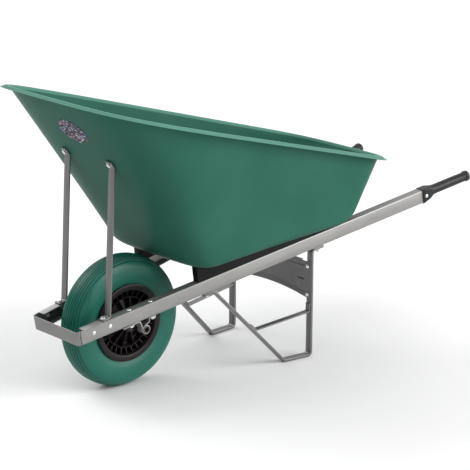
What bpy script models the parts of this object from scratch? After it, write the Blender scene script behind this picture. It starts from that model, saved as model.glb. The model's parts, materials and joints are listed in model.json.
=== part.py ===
"""Garden wheelbarrow: deep plastic tray on a galvanised channel frame, with one puncture-proof wheel.

Metres, +Z up. The wheel is at the -X end and the handles are at the +X end, so +X points back to
the user. The origin is on the ground below the middle of the whole barrow. "left" is the user's
left hand (-Y), "right" is +Y. Each side piece is built once with a side sign and mirrored by it.
"""
import math

import bmesh
import bpy
from mathutils import Matrix, Vector

GAP = 0.0003                      # clearance between pieces that touch
SEAT = GAP + 0.0002               # the same under bent bars, whose faces are not quite flat
LEFT, RIGHT = -1, 1
SIDES = ((LEFT, "left"), (RIGHT, "right"))

# wheel
AXLE_X = -0.4836                  # axle ahead of the barrow's middle
AXLE_Z = 0.200
TYRE_R = 0.200
TYRE_HALF_W = 0.045
RIM_FLANGE_R = 0.1178
RIM_HALF_W = 0.0476
RIM_BARREL_R = 0.100
HUB_R = 0.026
HUB_HALF_W = 0.055
BUSH_R = 0.015
AXLE_R = 0.011
AXLE_BORE_R = 0.0085
AXLE_HALF_LEN = 0.1310
SPACER_R = 0.0140
WHEEL_STEPS = 32
SMALL_STEPS = 20                  # bushes, spacers, axle and eyes
RIB_COUNT = 9
RIB_HALF_T = 0.0013
BUSH_HEAD = 0.003                 # the bush stands this far out of the hub

# channel rails: they climb from the nose to the grips and spread apart
NOSE_X = AXLE_X - 0.2309
NOSE_Z = 0.1925                   # underside of the rails at the nose
NOSE_HALF_W = 0.1092
RAIL_PITCH = math.radians(10.45)
RAIL_SPLAY = math.radians(5.74)   # measured in the rails' own sloping plane
RAIL_H = 0.0426
RAIL_FLANGE = 0.028
RAIL_T = 0.0025
RAIL_START = 0.012
FLANGE_START = 0.024

# axle brackets
BRACKET_W = 0.025
BRACKET_T = 0.003
EYE_R = 0.0140
BRACKET_BEND_R = 0.005

# nose strap
STRAP_T = 0.003
STRAP_ARM = 0.140
STRAP_BEND_R = 0.008

# tray: rounded outlines of the rim and of the floor, each with an elliptical front and rear end
RIM = dict(front=AXLE_X - 0.2611, rear=AXLE_X + 0.9564, w_front=0.3964, w_rear=0.2249,
           cap_front=0.6354, n_front=3.9, cap_rear=0.1703, n_rear=2.92)
RIM_Z_FRONT = 0.9078
RIM_Z_REAR = 0.5742
FLOOR = dict(front=AXLE_X + 0.1307, rear=AXLE_X + 0.7909, w_front=0.2202, w_rear=0.2306,
             cap_front=0.0857, n_front=4.3, cap_rear=0.1368, n_rear=3.26)
FLOOR_Z_FRONT = 0.3649
FLOOR_KNEE_X = AXLE_X + 0.711     # behind this the floor lies on the rails and follows them
TRAY_WALL = 0.0042
TRAY_LIP = 0.029
TRAY_LIP_DROP = 0.010
TRAY_FILLET = 0.0383
FRONT_TURN, REAR_TURN = 0.42, 0.62     # shares of an outline at which its ends' curves stop

# wedges between the rails and the tray
WEDGE_FRONT_X = AXLE_X + 0.172
WEDGE_REAR_X = AXLE_X + 0.640
WEDGE_W = 0.024

# struts, legs, plate
STRUT_W = 0.025
STRUT_T = 0.005
STRUT_FOOT_X = AXLE_X - 0.150
STRUT_BEND_X = AXLE_X - 0.1235
STRUT_BEND_R = 0.0055
STRUT_TOP_Z = 0.700               # where the strut turns to lie on the tray
STRUT_TAB = 0.024
LEG_W = 0.024
LEG_T = 0.008
LEG_INSET = 0.0020
LEG_BEND_R = 0.0125
BRACE_T = 0.004
BRACE_W = 0.020
BRACE_LOW_Z = 0.1185
BRACE_HIGH_Z = 0.1455
BRACE_TAB = 0.026
BRACE_BEND_R = 0.0065
PLATE_T = 0.0020
PLATE_X = AXLE_X + 0.5935
PLATE_HALF_W = 0.190
PLATE_TOP = 0.3040
PLATE_BOTTOM = 0.1840
PLATE_ARCH = 0.0200
PLATE_FOLD = 0.0140
SLOT_Y = (0.130, 0.160)
SLOT_Z = (0.2440, 0.2475)

# grips, as distances along the rail
GRIP_START = 1.294
GRIP_END = 1.492
GRIP_R = 0.0150
GRIP_COLLAR_R = 0.0172
GRIP_AXIS = 0.0255                # height of the hand part over the rail's underside
SLEEVE_HALF_W = 0.0172
RAIL_END = GRIP_START + 0.026     # the rail ends inside the grip, its lower corner cut on the slant
SLANT = 0.28                      # rise of the sleeve's underside towards the hand part

# fasteners
SHANK_R = 0.0040
BOLT_STEPS = 12

GALVANISED = ("galvanised_steel", (0.56, 0.57, 0.56), 0.36, 0.9)
ZINC = ("zinc_bolt", (0.70, 0.71, 0.70), 0.28, 0.95)
TRAY_GREEN = ("tray_green", (0.055, 0.235, 0.165), 0.38, 0.0)
TYRE_GREEN = ("tyre_green", (0.030, 0.215, 0.155), 0.48, 0.0)
WEDGE_BLACK = ("wedge_black", (0.018, 0.018, 0.019), 0.55, 0.0)
RIM_BLACK = ("rim_black", (0.016, 0.015, 0.017), 0.42, 0.0)
GRIP_BLACK = ("grip_black", (0.014, 0.014, 0.016), 0.36, 0.0)
BUSH_GREY = ("bush_grey", (0.10, 0.10, 0.11), 0.5, 0.0)


def clear_scene():
    for obj in list(bpy.data.objects):
        bpy.data.objects.remove(obj, do_unlink=True)


def material(spec):
    name, rgb, roughness, metallic = spec
    found = bpy.data.materials.get(name)
    if found:
        return found
    mat = bpy.data.materials.new(name)
    mat.use_nodes = True
    shader = mat.node_tree.nodes["Principled BSDF"]
    shader.inputs["Base Color"].default_value = (*rgb, 1.0)
    shader.inputs["Roughness"].default_value = roughness
    shader.inputs["Metallic"].default_value = metallic
    return mat


def add_object(name, verts, faces, spec, frame=None, smooth_angle=35.0):
    """One closed piece from vertices in its own frame."""
    mesh = bpy.data.meshes.new(name)
    bm = bmesh.new()
    made = [bm.verts.new(v) for v in verts]
    for face in faces:
        bm.faces.new([made[i] for i in face])
    bmesh.ops.recalc_face_normals(bm, faces=bm.faces[:])
    bm.to_mesh(mesh)
    bm.free()
    mesh.shade_smooth()
    mesh.set_sharp_from_angle(angle=math.radians(smooth_angle))
    obj = bpy.data.objects.new(name, mesh)
    bpy.context.scene.collection.objects.link(obj)
    obj.data.materials.append(material(spec))
    if frame is not None:
        obj.matrix_world = frame
    return obj


def as_cutter(obj):
    obj.display_type = 'WIRE'
    obj.hide_render = True
    return obj


def boolean(obj, tool, operation='DIFFERENCE'):
    mod = obj.modifiers.new(operation.lower() + "_" + tool.name, 'BOOLEAN')
    mod.operation = operation
    mod.object = tool
    mod.solver = 'EXACT'


def stack_rings(rings, closed_ends=True):
    """Skin equal-length rings one after the other; the ends get flat caps."""
    count = len(rings[0])
    verts = [v for ring in rings for v in ring]
    faces = []
    for k in range(len(rings) - 1):
        for i in range(count):
            j = (i + 1) % count
            faces.append((k * count + i, k * count + j, (k + 1) * count + j, (k + 1) * count + i))
    if closed_ends:
        last = (len(rings) - 1) * count
        faces.append(tuple(range(count)))
        faces.append(tuple(range(last, last + count)))
    return verts, faces


def prism(outline, low, high, plane="xz"):
    """Outline in one plane, extruded between two values of the third coordinate."""
    def place(a, b, c):
        return {"xz": (a, c, b), "xy": (a, b, c), "yz": (c, a, b)}[plane]
    rings = [[place(a, b, c) for a, b in outline] for c in (low, high)]
    return stack_rings(rings)


def lathe(profile, steps=WHEEL_STEPS):
    """Closed (y, r) profile turned about the Y axis."""
    count = len(profile)
    verts, faces = [], []
    for s in range(steps):
        turn = 2 * math.pi * s / steps
        verts += [(r * math.cos(turn), y, r * math.sin(turn)) for y, r in profile]
    for s in range(steps):
        for i in range(count):
            j, t = (i + 1) % count, (s + 1) % steps
            faces.append((s * count + i, s * count + j, t * count + j, t * count + i))
    return verts, faces


def bent_path(points, radius, arc_steps=5):
    """Polyline with each inner corner replaced by an arc of the given centre-line radius."""
    path = [Vector(points[0])]
    for k in range(1, len(points) - 1):
        here = Vector(points[k])
        back = (Vector(points[k - 1]) - here).normalized()
        ahead = (Vector(points[k + 1]) - here).normalized()
        half = back.angle(ahead) / 2
        reach = radius / math.tan(half)
        centre = here + (back + ahead).normalized() * (radius / math.sin(half))
        start, end = here + back * reach - centre, here + ahead * reach - centre
        sweep = start.angle_signed(end)
        for s in range(arc_steps + 1):
            turn = -sweep * s / arc_steps
            path.append(centre + Vector((start.x * math.cos(turn) - start.y * math.sin(turn),
                                         start.x * math.sin(turn) + start.y * math.cos(turn))))
    path.append(Vector(points[-1]))
    return path


def strip_outline(points, radius, thickness, arc_steps=5):
    """Outline of a bent flat bar seen on its edge."""
    path = bent_path(points, radius, arc_steps)
    left, right = [], []
    for k, here in enumerate(path):
        before = path[max(k - 1, 0)]
        after = path[min(k + 1, len(path) - 1)]
        into = (here - before).normalized() if k else (after - here).normalized()
        out = (after - here).normalized() if k < len(path) - 1 else into
        along = (into + out).normalized()
        side = Vector((-along.y, along.x)) * (thickness / 2 / max(0.5, along.dot(into)))
        left.append(tuple(here + side))
        right.append(tuple(here - side))
    return left + right[::-1]


def matrix_from(origin, x_dir, z_dir):
    """Right-handed frame with its X along x_dir and Z along z_dir."""
    x_axis, z_axis = Vector(x_dir).normalized(), Vector(z_dir).normalized()
    y_axis = z_axis.cross(x_axis).normalized()
    frame = Matrix((x_axis, y_axis, x_axis.cross(y_axis))).transposed().to_4x4()
    frame.translation = Vector(origin)
    return frame


def slope_frame():
    """Frame of the rails' sloping plane: X climbs backwards, Y is the barrow's Y, Z is the rails' up."""
    slope = Vector((math.cos(RAIL_PITCH), 0, math.sin(RAIL_PITCH)))
    up = Vector((-math.sin(RAIL_PITCH), 0, math.cos(RAIL_PITCH)))
    return matrix_from((NOSE_X, 0, NOSE_Z), slope, up)


def rail_frame(side):
    """Frame of one rail: X along it, Z its up; the outer face of its web is at local y = 0."""
    plane = slope_frame()
    along = plane.to_3x3() @ Vector((math.cos(RAIL_SPLAY), side * math.sin(RAIL_SPLAY), 0))
    origin = plane @ Vector((0, side * NOSE_HALF_W, 0))
    return matrix_from(origin, along, plane.to_3x3() @ Vector((0, 0, 1)))


def inward(side, distance):
    """Local y in rail_frame of a point this far inboard of the web's outer face."""
    return -side * distance


def rail_point(side, along, inboard, height):
    return rail_frame(side) @ Vector((along, inward(side, inboard), height))


def web_y(x):
    """Half width over the rails' webs at world x."""
    return NOSE_HALF_W + (x - NOSE_X) / math.cos(RAIL_PITCH) * math.tan(RAIL_SPLAY)


def rail_top_z(x):
    return NOSE_Z + (x - NOSE_X) * math.tan(RAIL_PITCH) + RAIL_H / math.cos(RAIL_PITCH)


def bracket_faces():
    """Half widths over the outer and the inner face of the axle brackets."""
    outer = web_y(AXLE_X - 0.04) - 0.0010
    return outer, outer - BRACKET_W


def ring_at(radius, z, hexagon=False, steps=BOLT_STEPS):
    """Ring about Z; a hexagon ring has its corners on every other point."""
    ring = []
    for k in range(steps):
        turn = 2 * math.pi * k / steps
        r = radius
        if hexagon and k % 2:
            r = radius * math.cos(math.pi / 6)
        ring.append((r * math.cos(turn), r * math.sin(turn), z))
    return ring


class Fastener:
    """Bolt with its nut. The head sits at the start point, and the shank runs along direction."""

    def __init__(self, name, start, direction, grip, head="dome", nut=True, shank_r=SHANK_R,
                 head_r=0.0080, head_h=0.0042, nut_r=0.0075, nut_h=0.0065, tail=0.004):
        self.name = name
        self.shank_r = shank_r
        z_axis = Vector(direction).normalized()
        x_hint = Vector((0, 1, 0)) if abs(z_axis.y) < 0.8 else Vector((1, 0, 0))
        x_axis = (x_hint - z_axis * x_hint.dot(z_axis)).normalized()
        self.frame = matrix_from(start, x_axis, z_axis)
        head_z = -GAP
        rings = []
        if head == "dome":
            for share, height in ((0.45, 1.0), (0.85, 0.65), (1.0, 0.0)):
                rings.append(ring_at(head_r * share, head_z - head_h * height))
        elif head == "hex":
            rings += [ring_at(head_r * 0.86, head_z - head_h, True),
                      ring_at(head_r, head_z - head_h * 0.85, True), ring_at(head_r, head_z, True)]
        else:
            rings += [ring_at(head_r * 0.9, head_z - head_h), ring_at(head_r, head_z - head_h * 0.6),
                      ring_at(head_r, head_z)]
        rings.append(ring_at(shank_r, head_z))
        end = grip + GAP
        if nut:
            rings += [ring_at(shank_r, end), ring_at(nut_r, end, True), ring_at(nut_r, end + nut_h, True),
                      ring_at(shank_r, end + nut_h), ring_at(shank_r, end + nut_h + tail)]
        else:
            rings.append(ring_at(shank_r, end + tail))
        self.rings = rings
        self.length = end + nut_h + tail
        self.hole = None

    def build(self):
        verts, faces = stack_rings(self.rings)
        add_object(self.name, verts, faces, ZINC, self.frame)

    def cut(self, *pieces):
        """Clearance hole through each listed piece."""
        if self.hole is None:
            rings = [ring_at(self.shank_r + GAP, -0.0015), ring_at(self.shank_r + GAP, self.length)]
            verts, faces = stack_rings(rings)
            self.hole = as_cutter(add_object("hole_" + self.name, verts, faces, ZINC, self.frame))
        for piece in pieces:
            boolean(piece, self.hole)


def box_cutter(name, low, high, frame):
    corners = [(low[0], low[1]), (high[0], low[1]), (high[0], high[1]), (low[0], high[1])]
    verts, faces = prism(corners, low[2], high[2], "xy")
    return as_cutter(add_object(name, verts, faces, ZINC, frame))


# ---------------------------------------------------------------- wheel

def tyre_profile():
    """Closed section: crown with one groove near each shoulder, rounded shoulders, sidewalls and bead."""
    half = [(0.0090, TYRE_R), (0.0120, 0.1972), (0.0150, 0.1990), (0.0300, 0.1928), (0.0400, 0.1815),
            (TYRE_HALF_W, 0.1550), (0.0440, 0.1350), (0.0395, 0.1175), (0.0395, RIM_BARREL_R + GAP)]
    return half + [(-y, r) for y, r in half[::-1]]


def rim_profile():
    face = [(RIM_HALF_W, 0.1150), (RIM_HALF_W, 0.1000), (0.0060, 0.0965), (0.0060, 0.0795),
            (0.0380, 0.0785), (0.0380, 0.0755), (0.0070, 0.0730), (0.0070, 0.0300), (0.0400, HUB_R),
            (HUB_HALF_W, HUB_R), (HUB_HALF_W, BUSH_R + GAP)]
    outer = [(0.0398, RIM_BARREL_R), (0.0398, 0.1160), (0.0410, RIM_FLANGE_R), (0.0455, RIM_FLANGE_R)]
    return [(-y, r) for y, r in outer + face] + face[::-1] + outer[::-1]


def build_wheel():
    """Tyre, spoked centre and bushes turn together about the axle."""
    hinge = bpy.data.objects.new("wheel_axis", None)
    bpy.context.scene.collection.objects.link(hinge)
    hinge.location = (AXLE_X, 0, AXLE_Z)
    tyre = add_object("tyre", *lathe(tyre_profile()), TYRE_GREEN)
    centre = add_object("wheel_centre", *lathe(rim_profile()), RIM_BLACK)
    rib_box = [(0.0235, -RIB_HALF_T), (0.0975, -RIB_HALF_T), (0.0975, RIB_HALF_T), (0.0235, RIB_HALF_T)]
    for k in range(RIB_COUNT):
        turn = Matrix.Rotation(2 * math.pi * (k + 0.3) / RIB_COUNT, 4, 'Y')
        verts, faces = prism(rib_box, -0.0340, 0.0340)
        rib = as_cutter(add_object("rib_%02d" % k, verts, faces, RIM_BLACK, turn))
        rib.parent = centre
        boolean(centre, rib, 'UNION')
    tyre.parent = centre.parent = hinge
    for side, label in SIDES:
        inner, outer = 0.020, HUB_HALF_W
        verts, faces = lathe([(side * inner, AXLE_R + GAP), (side * (outer + BUSH_HEAD), AXLE_R + GAP),
                              (side * (outer + BUSH_HEAD), 0.0190), (side * (outer + GAP), 0.0190),
                              (side * (outer + GAP), BUSH_R), (side * inner, BUSH_R)], SMALL_STEPS)
        bush = add_object("hub_bush_" + label, verts, faces, BUSH_GREY)
        bush.parent = hinge


def build_axle():
    frame = Matrix.Translation((AXLE_X, 0, AXLE_Z))
    verts, faces = lathe([(-AXLE_HALF_LEN, AXLE_BORE_R), (AXLE_HALF_LEN, AXLE_BORE_R),
                          (AXLE_HALF_LEN, AXLE_R), (-AXLE_HALF_LEN, AXLE_R)], SMALL_STEPS)
    add_object("axle_tube", verts, faces, GALVANISED, frame)
    inner = HUB_HALF_W + BUSH_HEAD + GAP
    outer = bracket_faces()[1] - GAP
    for side, label in SIDES:
        profile = [(side * inner, AXLE_R + GAP), (side * outer, AXLE_R + GAP),
                   (side * outer, SPACER_R), (side * inner, SPACER_R)]
        add_object("axle_spacer_" + label, *lathe(profile, SMALL_STEPS), RIM_BLACK, frame)


# ---------------------------------------------------------------- frame

def build_rail(side, label):
    """Channel open towards the barrow's middle, its flanges cut back behind the nose."""
    b, h, t, c = RAIL_FLANGE, RAIL_H, RAIL_T, 0.0016
    section = [(0, c), (0, h - c), (c, h), (b, h), (b, h - t), (t, h - t), (t, t), (b, t), (b, 0), (c, 0)]
    outline = [(inward(side, y), z) for y, z in section]
    verts, faces = prism(outline, RAIL_START, RAIL_END, "yz")
    frame = rail_frame(side)
    rail = add_object("rail_" + label, verts, faces, GALVANISED, frame)
    ys = sorted((inward(side, t + 0.0002), inward(side, b + 0.005)))
    notch = box_cutter("notch_" + label, (-0.01, ys[0], -0.01), (FLANGE_START, ys[1], h + 0.01), frame)
    boolean(rail, notch)
    end = RAIL_END + 0.01
    corner = [(GRIP_START, 0), (GRIP_START, -0.01), (end, -0.01), (end, SLANT * (end - GRIP_START))]
    slant = add_object("slant_" + label, *prism(corner, -0.1, 0.1), GALVANISED, frame)
    boolean(rail, as_cutter(slant))
    return rail


def build_nose_strap():
    """Flat strap bent round the front; its arms lie inside the two channels."""
    inset = RAIL_T + GAP + STRAP_T / 2
    spread = math.tan(RAIL_SPLAY)

    def arm_y(x):
        return NOSE_HALF_W + x * spread - inset / math.cos(RAIL_SPLAY)
    front = STRAP_T / 2
    points = [(STRAP_ARM, -arm_y(STRAP_ARM)), (front, -arm_y(front)), (front, arm_y(front)),
              (STRAP_ARM, arm_y(STRAP_ARM))]
    outline = strip_outline(points, STRAP_BEND_R, STRAP_T)
    frame = slope_frame()
    verts, faces = prism(outline, 0.0, RAIL_H, "xy")
    strap = add_object("nose_strap", verts, faces, GALVANISED, frame)
    clear = RAIL_T + GAP
    start = FLANGE_START - 0.0015
    for label, low, high in (("low", -0.01, clear), ("high", RAIL_H - clear, RAIL_H + 0.01)):
        cutter = box_cutter("strap_" + label, (start, -0.2, low), (STRAP_ARM + 0.02, 0.2, high), frame)
        boolean(strap, cutter)
    return strap


def build_bracket(side, label):
    """Flat bar folded under the rail, its two legs meeting in an eye round the axle."""
    frame = slope_frame()
    axle = frame.inverted() @ Vector((AXLE_X, 0, AXLE_Z))
    ax, az = axle.x, axle.z
    ys = sorted(side * half for half in bracket_faces())

    def folded(points):
        return prism(strip_outline(points, BRACKET_BEND_R, BRACKET_T), *ys)
    top = -GAP - BRACKET_T / 2
    front = [(ax - 0.078, top), (ax - 0.0175, top), (ax - 0.0115, az + 0.0075)]
    rear = [(ax + 0.052, top), (ax + 0.0175, top), (ax + 0.0165, az + 0.0200), (ax - 0.0050, az + 0.0125)]
    eye = add_object("axle_bracket_" + label, *folded(front), GALVANISED, frame)
    hoop = lathe([(ys[0], AXLE_R + GAP), (ys[1], AXLE_R + GAP), (ys[1], EYE_R), (ys[0], EYE_R)], SMALL_STEPS)
    hoop_frame = frame @ Matrix.Translation((ax, 0, az))
    ring = as_cutter(add_object("eye_ring_" + label, *hoop, GALVANISED, hoop_frame))
    back = as_cutter(add_object("eye_back_" + label, *folded(rear), GALVANISED, frame))
    bore = lathe([(-0.3, 0.0001), (0.3, 0.0001), (0.3, AXLE_R + GAP), (-0.3, AXLE_R + GAP)], SMALL_STEPS)
    bore = as_cutter(add_object("eye_bore_" + label, *bore, GALVANISED, hoop_frame))
    thin = [(0.0005 * math.cos(k), 0.0005 * math.sin(k)) for k in (0.0, 2.1, 4.2)]
    core = as_cutter(add_object("eye_core_" + label, *prism(thin, -0.3, 0.3), GALVANISED, hoop_frame))
    boolean(eye, back, 'UNION')
    boolean(eye, ring, 'UNION')
    boolean(bore, core, 'UNION')
    boolean(eye, bore)
    return eye


def build_wedge(side, label):
    """Spacer that fills the space between the rail and the flatter tray floor."""
    clear = GAP / math.cos(RAIL_PITCH)
    corners = [(WEDGE_FRONT_X + 0.0075, rail_top_z, clear), (WEDGE_REAR_X, rail_top_z, clear),
               (WEDGE_REAR_X, floor_z, -clear), (WEDGE_FRONT_X, floor_z, -clear)]
    rings = []
    for inboard in (0.0015, 0.0015 + WEDGE_W):
        rings.append([(x, side * (web_y(x) - inboard), height(x) + gap) for x, height, gap in corners])
    return add_object("wedge_" + label, *stack_rings(rings), WEDGE_BLACK)


def build_strut(side, label):
    """Flat bar from the rail's top flange to the tray's front wall."""
    lift = STRUT_T / 2 + SEAT
    mid_y = web_y(STRUT_FOOT_X) - 0.0005 - STRUT_W / 2
    foot_z = rail_top_z(STRUT_FOOT_X) + lift / math.cos(RAIL_PITCH)
    bend_z = foot_z + (STRUT_BEND_X - STRUT_FOOT_X) * math.tan(RAIL_PITCH)
    edge_y, climb = mid_y - STRUT_W / 2, 0.030
    wall_low, wall_high = (front_wall(edge_y, z) for z in (STRUT_TOP_Z, STRUT_TOP_Z + climb))
    wall = Vector((wall_high - wall_low, climb)).normalized()
    off = Vector((-wall.y, wall.x)) * (STRUT_T / 2 + 0.0008)
    top = Vector((wall_low, STRUT_TOP_Z)) + off
    tip = top + wall * STRUT_TAB
    points = [(STRUT_FOOT_X, foot_z), (STRUT_BEND_X, bend_z), tuple(top), tuple(tip)]
    outline = strip_outline(points, STRUT_BEND_R, STRUT_T)
    ys = sorted((side * (mid_y - STRUT_W / 2), side * (mid_y + STRUT_W / 2)))
    strut = add_object("strut_" + label, *prism(outline, *ys), GALVANISED)
    bolt_at = Vector((wall_low, STRUT_TOP_Z)) + wall * STRUT_TAB * 0.56
    return strut, mid_y, (STRUT_FOOT_X + STRUT_BEND_X) / 2 - 0.0035, bolt_at, wall


def leg_frame(side):
    """Upright frame along one rail: X backwards along the rail's plan line, origin on the ground."""
    splay = math.atan(math.tan(RAIL_SPLAY) / math.cos(RAIL_PITCH))
    x_dir = (math.cos(splay), side * math.sin(splay), 0)
    return matrix_from((AXLE_X, side * web_y(AXLE_X), 0), x_dir, (0, 0, 1)), math.cos(splay)


def leg_path():
    """Centre line of the leg bar, as distances behind the axle and heights."""
    drop = (LEG_T / 2 + SEAT) / math.cos(RAIL_PITCH)

    def under(x):
        return rail_top_z(AXLE_X + x) - RAIL_H / math.cos(RAIL_PITCH) - drop
    mid = LEG_T / 2
    return [(0.2010, under(0.2010)), (0.2385, under(0.2385)), (0.5010, mid), (0.6010, mid),
            (0.6010, under(0.6010)), (0.6430, under(0.6430))]


def build_leg(side, label):
    """Flat bar bent into a tab, a raking front part, a foot, an upright and a rear tab."""
    frame, stretch = leg_frame(side)
    points = [(x / stretch, z) for x, z in leg_path()]
    outline = strip_outline(points, LEG_BEND_R, LEG_T)
    ys = sorted((inward(side, LEG_INSET), inward(side, LEG_INSET + LEG_W)))
    return add_object("leg_" + label, *prism(outline, *ys), GALVANISED, frame)


def build_brace(side, label):
    """Flat tie across the leg, with a tab turned along each bar."""
    frame, stretch = leg_frame(side)
    points = [Vector((x / stretch, z)) for x, z in leg_path()]
    top, foot, upright = points[1], points[2], points[3]
    half = LEG_T / 2 + BRACE_T / 2 + SEAT
    rake = (top - foot).normalized()
    behind = Vector((rake.y, -rake.x))
    low = foot + rake * ((BRACE_LOW_Z - foot.y) / rake.y) + behind * half
    end_x = upright.x - half
    path = [low + rake * BRACE_TAB, low, (end_x, BRACE_HIGH_Z), (end_x, BRACE_HIGH_Z + BRACE_TAB)]
    outline = strip_outline(path, BRACE_BEND_R, BRACE_T)
    start = LEG_INSET + (LEG_W - BRACE_W) / 2
    ys = sorted((inward(side, start), inward(side, start + BRACE_W)))
    return add_object("leg_brace_" + label, *prism(outline, *ys), GALVANISED, frame)


def build_plate():
    """Pressed plate between the legs with an arched lower edge and a folded upper edge."""
    steps = 12
    arch = []
    for k in range(steps + 1):
        y = PLATE_HALF_W * (1 - 2 * k / steps)
        arch.append((y, PLATE_BOTTOM + PLATE_ARCH * (1 - (y / PLATE_HALF_W) ** 2)))
    outline = [(-PLATE_HALF_W, PLATE_TOP), (PLATE_HALF_W, PLATE_TOP)] + arch
    verts, faces = prism(outline, PLATE_X, PLATE_X + PLATE_T, "yz")
    plate = add_object("cross_plate", verts, faces, GALVANISED)
    near, far, under = PLATE_X + 0.0005, PLATE_X + PLATE_FOLD, PLATE_TOP - PLATE_T
    lip = [(near, under), (far, under), (far, PLATE_TOP), (near, PLATE_TOP)]
    fold = as_cutter(add_object("plate_fold", *prism(lip, -0.155, 0.155), GALVANISED))
    boolean(plate, fold, 'UNION')
    for side, label in SIDES:
        y_low, y_high = sorted(side * y for y in SLOT_Y)
        z_low, z_high = SLOT_Z
        slot = [(y_low, z_low), (y_high, z_low), (y_high, z_high), (y_low, z_high)]
        verts, faces = prism(slot, PLATE_X - 0.01, PLATE_X + 0.01, "yz")
        boolean(plate, as_cutter(add_object("plate_slot_" + label, verts, faces, GALVANISED)))
    return plate


# ---------------------------------------------------------------- tray

def outline_point(shape, turn):
    """Plan point for turn 0..1 along one side, from the front centre to the rear centre."""
    front, rear = shape["front"], shape["rear"]
    ends = (front + shape["cap_front"], rear - shape["cap_rear"])

    def half_width(x):
        return shape["w_front"] + (shape["w_rear"] - shape["w_front"]) * (x - front) / (rear - front)
    if turn < FRONT_TURN:
        angle = turn / FRONT_TURN * math.pi / 2
        power = 2 / shape["n_front"]
        x = front + shape["cap_front"] * (1 - math.cos(angle) ** power)
        return x, half_width(x) * math.sin(angle) ** power
    if turn > REAR_TURN:
        angle = (1 - turn) / (1 - REAR_TURN) * math.pi / 2
        power = 2 / shape["n_rear"]
        x = rear - shape["cap_rear"] * (1 - math.cos(angle) ** power)
        return x, half_width(x) * math.sin(angle) ** power
    x = ends[0] + (ends[1] - ends[0]) * (turn - FRONT_TURN) / (REAR_TURN - FRONT_TURN)
    return x, half_width(x)


def outline(shape, offset=0.0, half_steps=24):
    """Closed plan outline, front centre first, moved inwards by offset."""
    side = [outline_point(shape, k / half_steps) for k in range(half_steps + 1)]
    ring = [(x, -y) for x, y in side] + [(x, y) for x, y in side[-2:0:-1]]
    if not offset:
        return [Vector(p) for p in ring]
    moved = []
    for k, here in enumerate(ring):
        run = Vector(ring[(k + 1) % len(ring)]) - Vector(ring[k - 1])
        run.normalize()
        moved.append(Vector(here) + Vector((-run.y, run.x)) * offset)
    return moved


def rim_z(x):
    share = (x - RIM["front"]) / (RIM["rear"] - RIM["front"])
    return RIM_Z_FRONT + (RIM_Z_REAR - RIM_Z_FRONT) * share


def floor_z(x):
    """Underside of the tray: nearly level in front, along the rails behind the knee."""
    knee_z = rail_top_z(FLOOR_KNEE_X) + 0.0010
    level = (knee_z - FLOOR_Z_FRONT) / (FLOOR_KNEE_X - FLOOR["front"])
    if x < FLOOR_KNEE_X:
        return FLOOR_Z_FRONT + level * (x - FLOOR["front"])
    return knee_z + math.tan(RAIL_PITCH) * (x - FLOOR_KNEE_X)


def wall_rings(offset_low, offset_high, lift, drop, fillet, steps=3):
    """Rings from the floor's middle over the fillet and up the wall, for one skin of the tray."""
    base = outline(FLOOR, offset_low)
    top = outline(RIM, offset_high)
    centre = Vector(((FLOOR["front"] + FLOOR["rear"]) / 2, 0))
    half_way = [centre + (p - centre) * 0.5 for p in base]
    rings = [[(p.x, p.y, floor_z(p.x) + lift) for p in half_way]]
    corner = [Vector((p.x, p.y, floor_z(p.x) + lift)) for p in base]
    crest = [Vector((p.x, p.y, rim_z(p.x) - drop)) for p in top]
    for k in range(steps + 1):
        t = k / steps
        ring = []
        for c, r, p in zip(corner, crest, base):
            inner = p + (centre - p).normalized() * fillet
            start = Vector((inner.x, inner.y, floor_z(inner.x) + lift))
            end = c + (r - c).normalized() * fillet
            ring.append(tuple(start * (1 - t) ** 2 + c * 2 * t * (1 - t) + end * t * t))
        rings.append(ring)
    middle = [tuple(Vector(a) * 0.5 + b * 0.5) for a, b in zip(rings[-1], crest)]
    rings.append(middle)
    rings.append([tuple(p) for p in crest])
    return rings


def front_wall(y, z):
    """World x of the tray's outer front wall at this y and z."""
    rings = wall_rings(0.0, TRAY_LIP, 0.0, TRAY_LIP_DROP, TRAY_FILLET)
    low, high = rings[-3], rings[-1]
    best = []
    for a, b in zip(low, high):
        if not a[2] <= z <= b[2]:
            continue
        share = (z - a[2]) / (b[2] - a[2])
        best.append((a[1] + (b[1] - a[1]) * share, a[0] + (b[0] - a[0]) * share))
    best = sorted(p for p in best if p[1] < AXLE_X + 0.15)
    for (y0, x0), (y1, x1) in zip(best, best[1:]):
        if y0 <= y <= y1:
            return x0 + (x1 - x0) * (y - y0) / (y1 - y0)
    return best[-1][1]


def build_tray():
    """One-piece moulded tray with a rolled rim, as a closed double skin."""
    outer = wall_rings(0.0, TRAY_LIP, 0.0, TRAY_LIP_DROP, TRAY_FILLET)
    under = [(0.0235, 0.0050), (0.0170, 0.0040), (0.0130, 0.0058), (0.0100, 0.0095), (0.0, 0.0095)]
    over = [(0.0, 0.0070), (0.0070, 0.0066), (0.0105, 0.0026), (0.0160, 0.0), (0.0250, 0.0012)]
    rings = list(outer)
    for offset, drop in under + over:
        rings.append([(p.x, p.y, rim_z(p.x) - drop) for p in outline(RIM, offset)])
    inner = wall_rings(TRAY_WALL, TRAY_LIP + TRAY_WALL, TRAY_WALL, TRAY_LIP_DROP, TRAY_FILLET)
    rings += inner[::-1]
    verts, faces = stack_rings(rings, closed_ends=False)
    count = len(rings[0])
    centre_x = (FLOOR["front"] + FLOOR["rear"]) / 2
    for ring_start, lift in ((0, 0.0), ((len(rings) - 1) * count, TRAY_WALL)):
        verts.append((centre_x, 0, floor_z(centre_x) + lift))
        hub = len(verts) - 1
        faces += [(hub, ring_start + k, ring_start + (k + 1) % count) for k in range(count)]
    return add_object("tray", verts, faces, TRAY_GREEN, smooth_angle=50.0)


# ---------------------------------------------------------------- grips

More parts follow.
